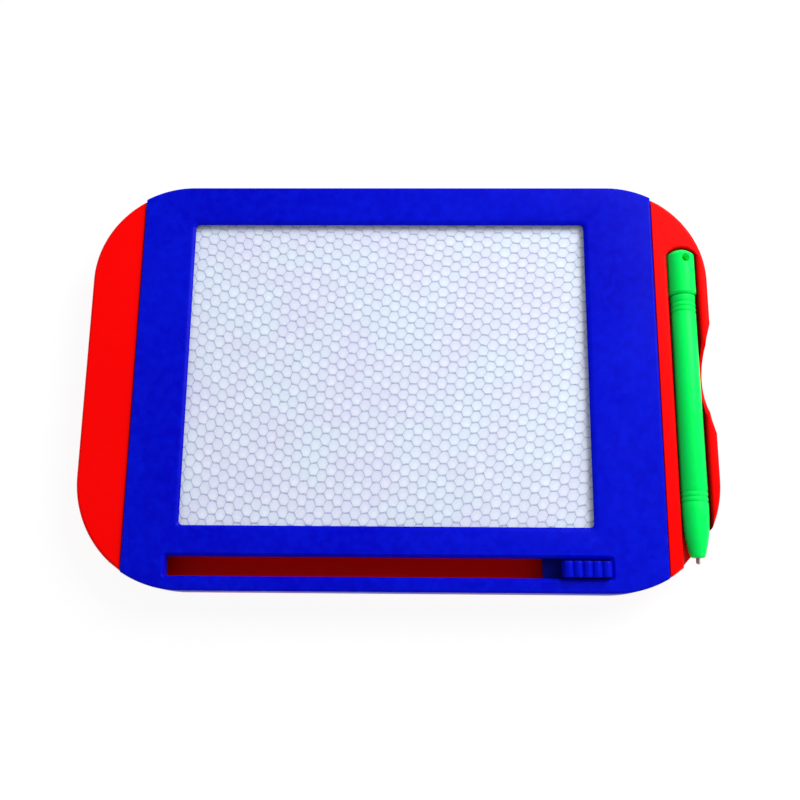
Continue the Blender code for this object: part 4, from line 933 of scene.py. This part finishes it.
def makeTip():
    look = penLook
    front = look["capLength"] + look["fitGap"] + look["barrelLength"]
    headFront = front - look["noseLength"] + look["boreEnd"] - look["fitGap"]
    headBack, end = headFront - look["tipHeadLength"], front + look["tipReach"]
    corners = [(0.0, headBack, 0), (look["tipHeadRadius"], headBack, look["tipHeadEdge"]),
               (look["tipHeadRadius"], headFront, look["tipHeadEdge"]), (look["tipRadius"], headFront, 0),
               (look["tipRadius"], end, look["tipEdge"]), (0.0, end, 0)]
    mesh = turnProfile("pen_point", corners, look["edgeSteps"], look["tipSides"])
    mesh.transform(penPlace)
    sharpen(mesh, look["smoothAngle"])
    makeObject("pen_point", mesh, "pen", "steel", "pen_tip", simple["zinc_steel"])


makeBarrel()
makeCap()
makeTip()
print("pen made")


# Screws: a pan head with a cross recess and a thread that winds up the shank. The thread's
# radius at angle a and height h is core + depth * tooth(h / pitch - a / 2 pi), where tooth rises
# from 0 to 1 and falls again over part of each turn. The head's rings are given as the step in
# from its side and the height, the recess's rings as a share of its width and the height.
screwLook = {
    "count": 8, "headHeight": 1.5 * mm, "headRadius": 2.6 * mm,
    "headRings": ((0.9 * mm, 0.0), (0.25 * mm, 0.2 * mm), (0.0, 0.75 * mm), (0.0, 1.5 * mm)),
    "coreRadius": 1.05 * mm, "threadDepth": 0.35 * mm, "pitch": 1.1 * mm, "toothShare": 0.5,
    "plainShank": 0.5 * mm, "fadeLength": 0.4 * mm, "pointLength": 1.5 * mm, "pointPower": 0.8,
    "leastRadius": 0.02 * mm, "sides": 20, "rowsPerTurn": 7, "smoothAngle": 35.0,
    "recessLength": 1.5 * mm, "recessWidth": 0.42 * mm,
    "recessRings": ((1.12, -0.3 * mm), (1.0, 0.0), (0.45, 0.9 * mm)),
}


# The cross recess: a plus-shaped prism that narrows towards its floor
def makeRecess():
    long, wide = screwLook["recessLength"], screwLook["recessWidth"]
    outline = []
    for c, s in ((1, 0), (0, 1), (-1, 0), (0, -1)):
        outline += [(c * x - s * y, s * x + c * y) for x, y in ((long, -wide), (long, wide), (wide, wide))]
    rings = [[(share * x, share * y, z) for x, y in outline] for share, z in screwLook["recessRings"]]
    return skinRings("recess", np.array(rings))


def makeScrewMesh(height):
    look = screwLook
    shank = height - look["headHeight"]
    rows = int(shank / look["pitch"] * look["rowsPerTurn"])
    h = np.linspace(0, shank, rows + 1)[:, None]
    a = 2 * math.pi * np.arange(look["sides"])[None, :] / look["sides"]
    phase = (h / look["pitch"] - a / (2 * math.pi)) % 1.0
    tooth = np.clip(1 - np.abs(phase - 0.5) / (look["toothShare"] / 2), 0, 1)
    fade = np.clip((h - look["plainShank"]) / look["fadeLength"], 0, 1)
    point = np.clip((shank - h) / look["pointLength"], 0, 1) ** look["pointPower"]
    radius = (look["coreRadius"] + look["threadDepth"] * tooth * fade) * point
    radius = np.maximum(radius, look["leastRadius"])
    insets, heights = np.array(look["headRings"]).T[..., None]
    radius = np.concatenate([look["headRadius"] - insets + 0 * a, radius])
    height = np.concatenate([heights, h + look["headHeight"]]) + 0 * a
    rings = np.stack([radius * np.cos(a), radius * np.sin(a), height], axis=-1)
    return cutAway(skinRings("screw", rings), makeRecess())


def makeScrews():
    low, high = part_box("screw_1")
    shared = makeScrewMesh(high.z - low.z)
    turns = np.random.default_rng(randomSeed + 2).random(screwLook["count"]) * math.pi
    for number, turn in enumerate(turns, start=1):
        low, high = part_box(f"screw_{number}")
        mesh = shared.copy()
        mesh.name = f"case_screw_{number}"
        centre = Vector(((low.x + high.x) / 2, (low.y + high.y) / 2, low.z))
        mesh.transform(Matrix.Translation(centre) @ Matrix.Rotation(turn, 4, "Z"))
        sharpen(mesh, screwLook["smoothAngle"])
        makeObject(mesh.name, mesh, "board", "steel", f"screw_{number}", simple["zinc_steel"])


makeScrews()
print("screws made")


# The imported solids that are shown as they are, with the material and the slot of each
keptNodes = (
    ("screen_tape", simple["foam_tape"], "tape"),
    ("screen_front_film", clearFilm, "clear_film"),
    ("screen_edge_seal", simple["seal_bead"], "seal"),
    ("screen_back_sheet", simple["back_sheet"], "screen_white"),
    ("eraser_magnet", simple["magnet_strip"], "magnet_strip"),
    ("pen_magnet", simple["ferrite"], "pen_magnet"),
)
for node, material, slotName in keptNodes:
    cadNodes[node].data.materials.clear()
    cadNodes[node].data.materials.append(material)


# Camera, fitted to the window, slot and outline of the photograph
cameraLook = {
    "lens": 45.0, "sensor": 36.0, "place": (6.90 * mm, -81.36 * mm, 320.46 * mm),
    "turn": (13.721, 1.009, 0.502), "nearClip": 10 * mm, "farClip": 10.0,
}


def makeCamera():
    look = cameraLook
    data = bpy.data.cameras.new("camera")
    data.lens = look["lens"]
    data.sensor_width = look["sensor"]
    data.clip_start = look["nearClip"]
    data.clip_end = look["farClip"]
    item = addItem("camera", data)
    item.location = look["place"]
    item.rotation_euler = [math.radians(angle) for angle in look["turn"]]
    bpy.context.scene.camera = item


# Light: a soft key from the upper right, a pale room, and a white floor that stays white to the
# camera but keeps a soft shadow
lightLook = {
    "keyPlace": (0.50, 0.44, 0.53), "keySize": 0.6, "keyPower": 7.4, "roomStrength": 0.62,
    "backdrop": 1.0, "mirrorHorizon": 0.9, "mirrorTones": (0.03, 0.6), "mirrorReach": (-0.15, 0.3),
    "mirrorHeights": (0.1, 0.8), "floorHalf": 3.0, "floorColour": 0.85, "floorGlow": 0.86,
    "glowStrength": 1.05, "floorDrop": 0.02 * mm,
}


def makeRoom():
    look = lightLook
    world = bpy.data.worlds.new("room")
    bpy.context.scene.world = world
    world.use_nodes = True
    tree = world.node_tree
    tree.nodes.clear()
    paths = addNode(tree, "ShaderNodeLightPath").outputs
    parts = splitVector(tree, addNode(tree, "ShaderNodeTexCoord").outputs["Generated"])
    ceiling = remap(tree, parts["X"], look["mirrorReach"], look["mirrorTones"])
    height = remap(tree, parts["Z"], look["mirrorHeights"], (0, 1))
    mirrored = mixNumbers(tree, height, look["mirrorHorizon"], ceiling)
    room = mixNumbers(tree, paths["Is Glossy Ray"], look["roomStrength"], mirrored)
    seen = doMath(tree, "MAXIMUM", paths["Is Camera Ray"], paths["Is Transmission Ray"])
    strength = mixNumbers(tree, seen, room, look["backdrop"])
    background = addNode(tree, "ShaderNodeBackground", {"Strength": strength})
    addNode(tree, "ShaderNodeOutputWorld", {"Surface": background.outputs[0]})


def makeKeyLight():
    data = bpy.data.lights.new("key", "AREA")
    data.shape = "DISK"
    data.size = lightLook["keySize"]
    data.energy = lightLook["keyPower"]
    item = addItem("key", data)
    item.location = lightLook["keyPlace"]
    item.rotation_euler = (-Vector(lightLook["keyPlace"])).to_track_quat("-Z", "Y").to_euler()


def makeFloor():
    look = lightLook
    half, z = look["floorHalf"], -look["floorDrop"]
    corners = [(-half, -half, z), (half, -half, z), (half, half, z), (-half, half, z)]
    mesh = newMesh("floor", corners, [(0, 1, 2, 3)])
    material, tree = newMaterial("floor")[:2]
    tree.nodes.clear()
    diffuse = addNode(tree, "ShaderNodeBsdfDiffuse", {"Color": (look["floorColour"],) * 3})
    glow = addNode(tree, "ShaderNodeEmission", {"Strength": look["glowStrength"]})
    paths = addNode(tree, "ShaderNodeLightPath").outputs
    seen = doMath(tree, "MAXIMUM", paths["Is Camera Ray"], paths["Is Transmission Ray"])
    seen = doMath(tree, "MAXIMUM", seen, paths["Is Glossy Ray"])
    share = doMath(tree, "MULTIPLY", seen, look["floorGlow"])
    mix = addNode(tree, "ShaderNodeMixShader", {0: share, 1: diffuse.outputs[0], 2: glow.outputs[0]})
    addNode(tree, "ShaderNodeOutputMaterial", {"Surface": mix.outputs[0]})
    mesh.materials.append(material)
    addItem("floor", mesh)


makeCamera()
makeRoom()
makeKeyLight()
makeFloor()
bpy.context.scene.view_settings.view_transform = "Standard"
print("camera and light made")
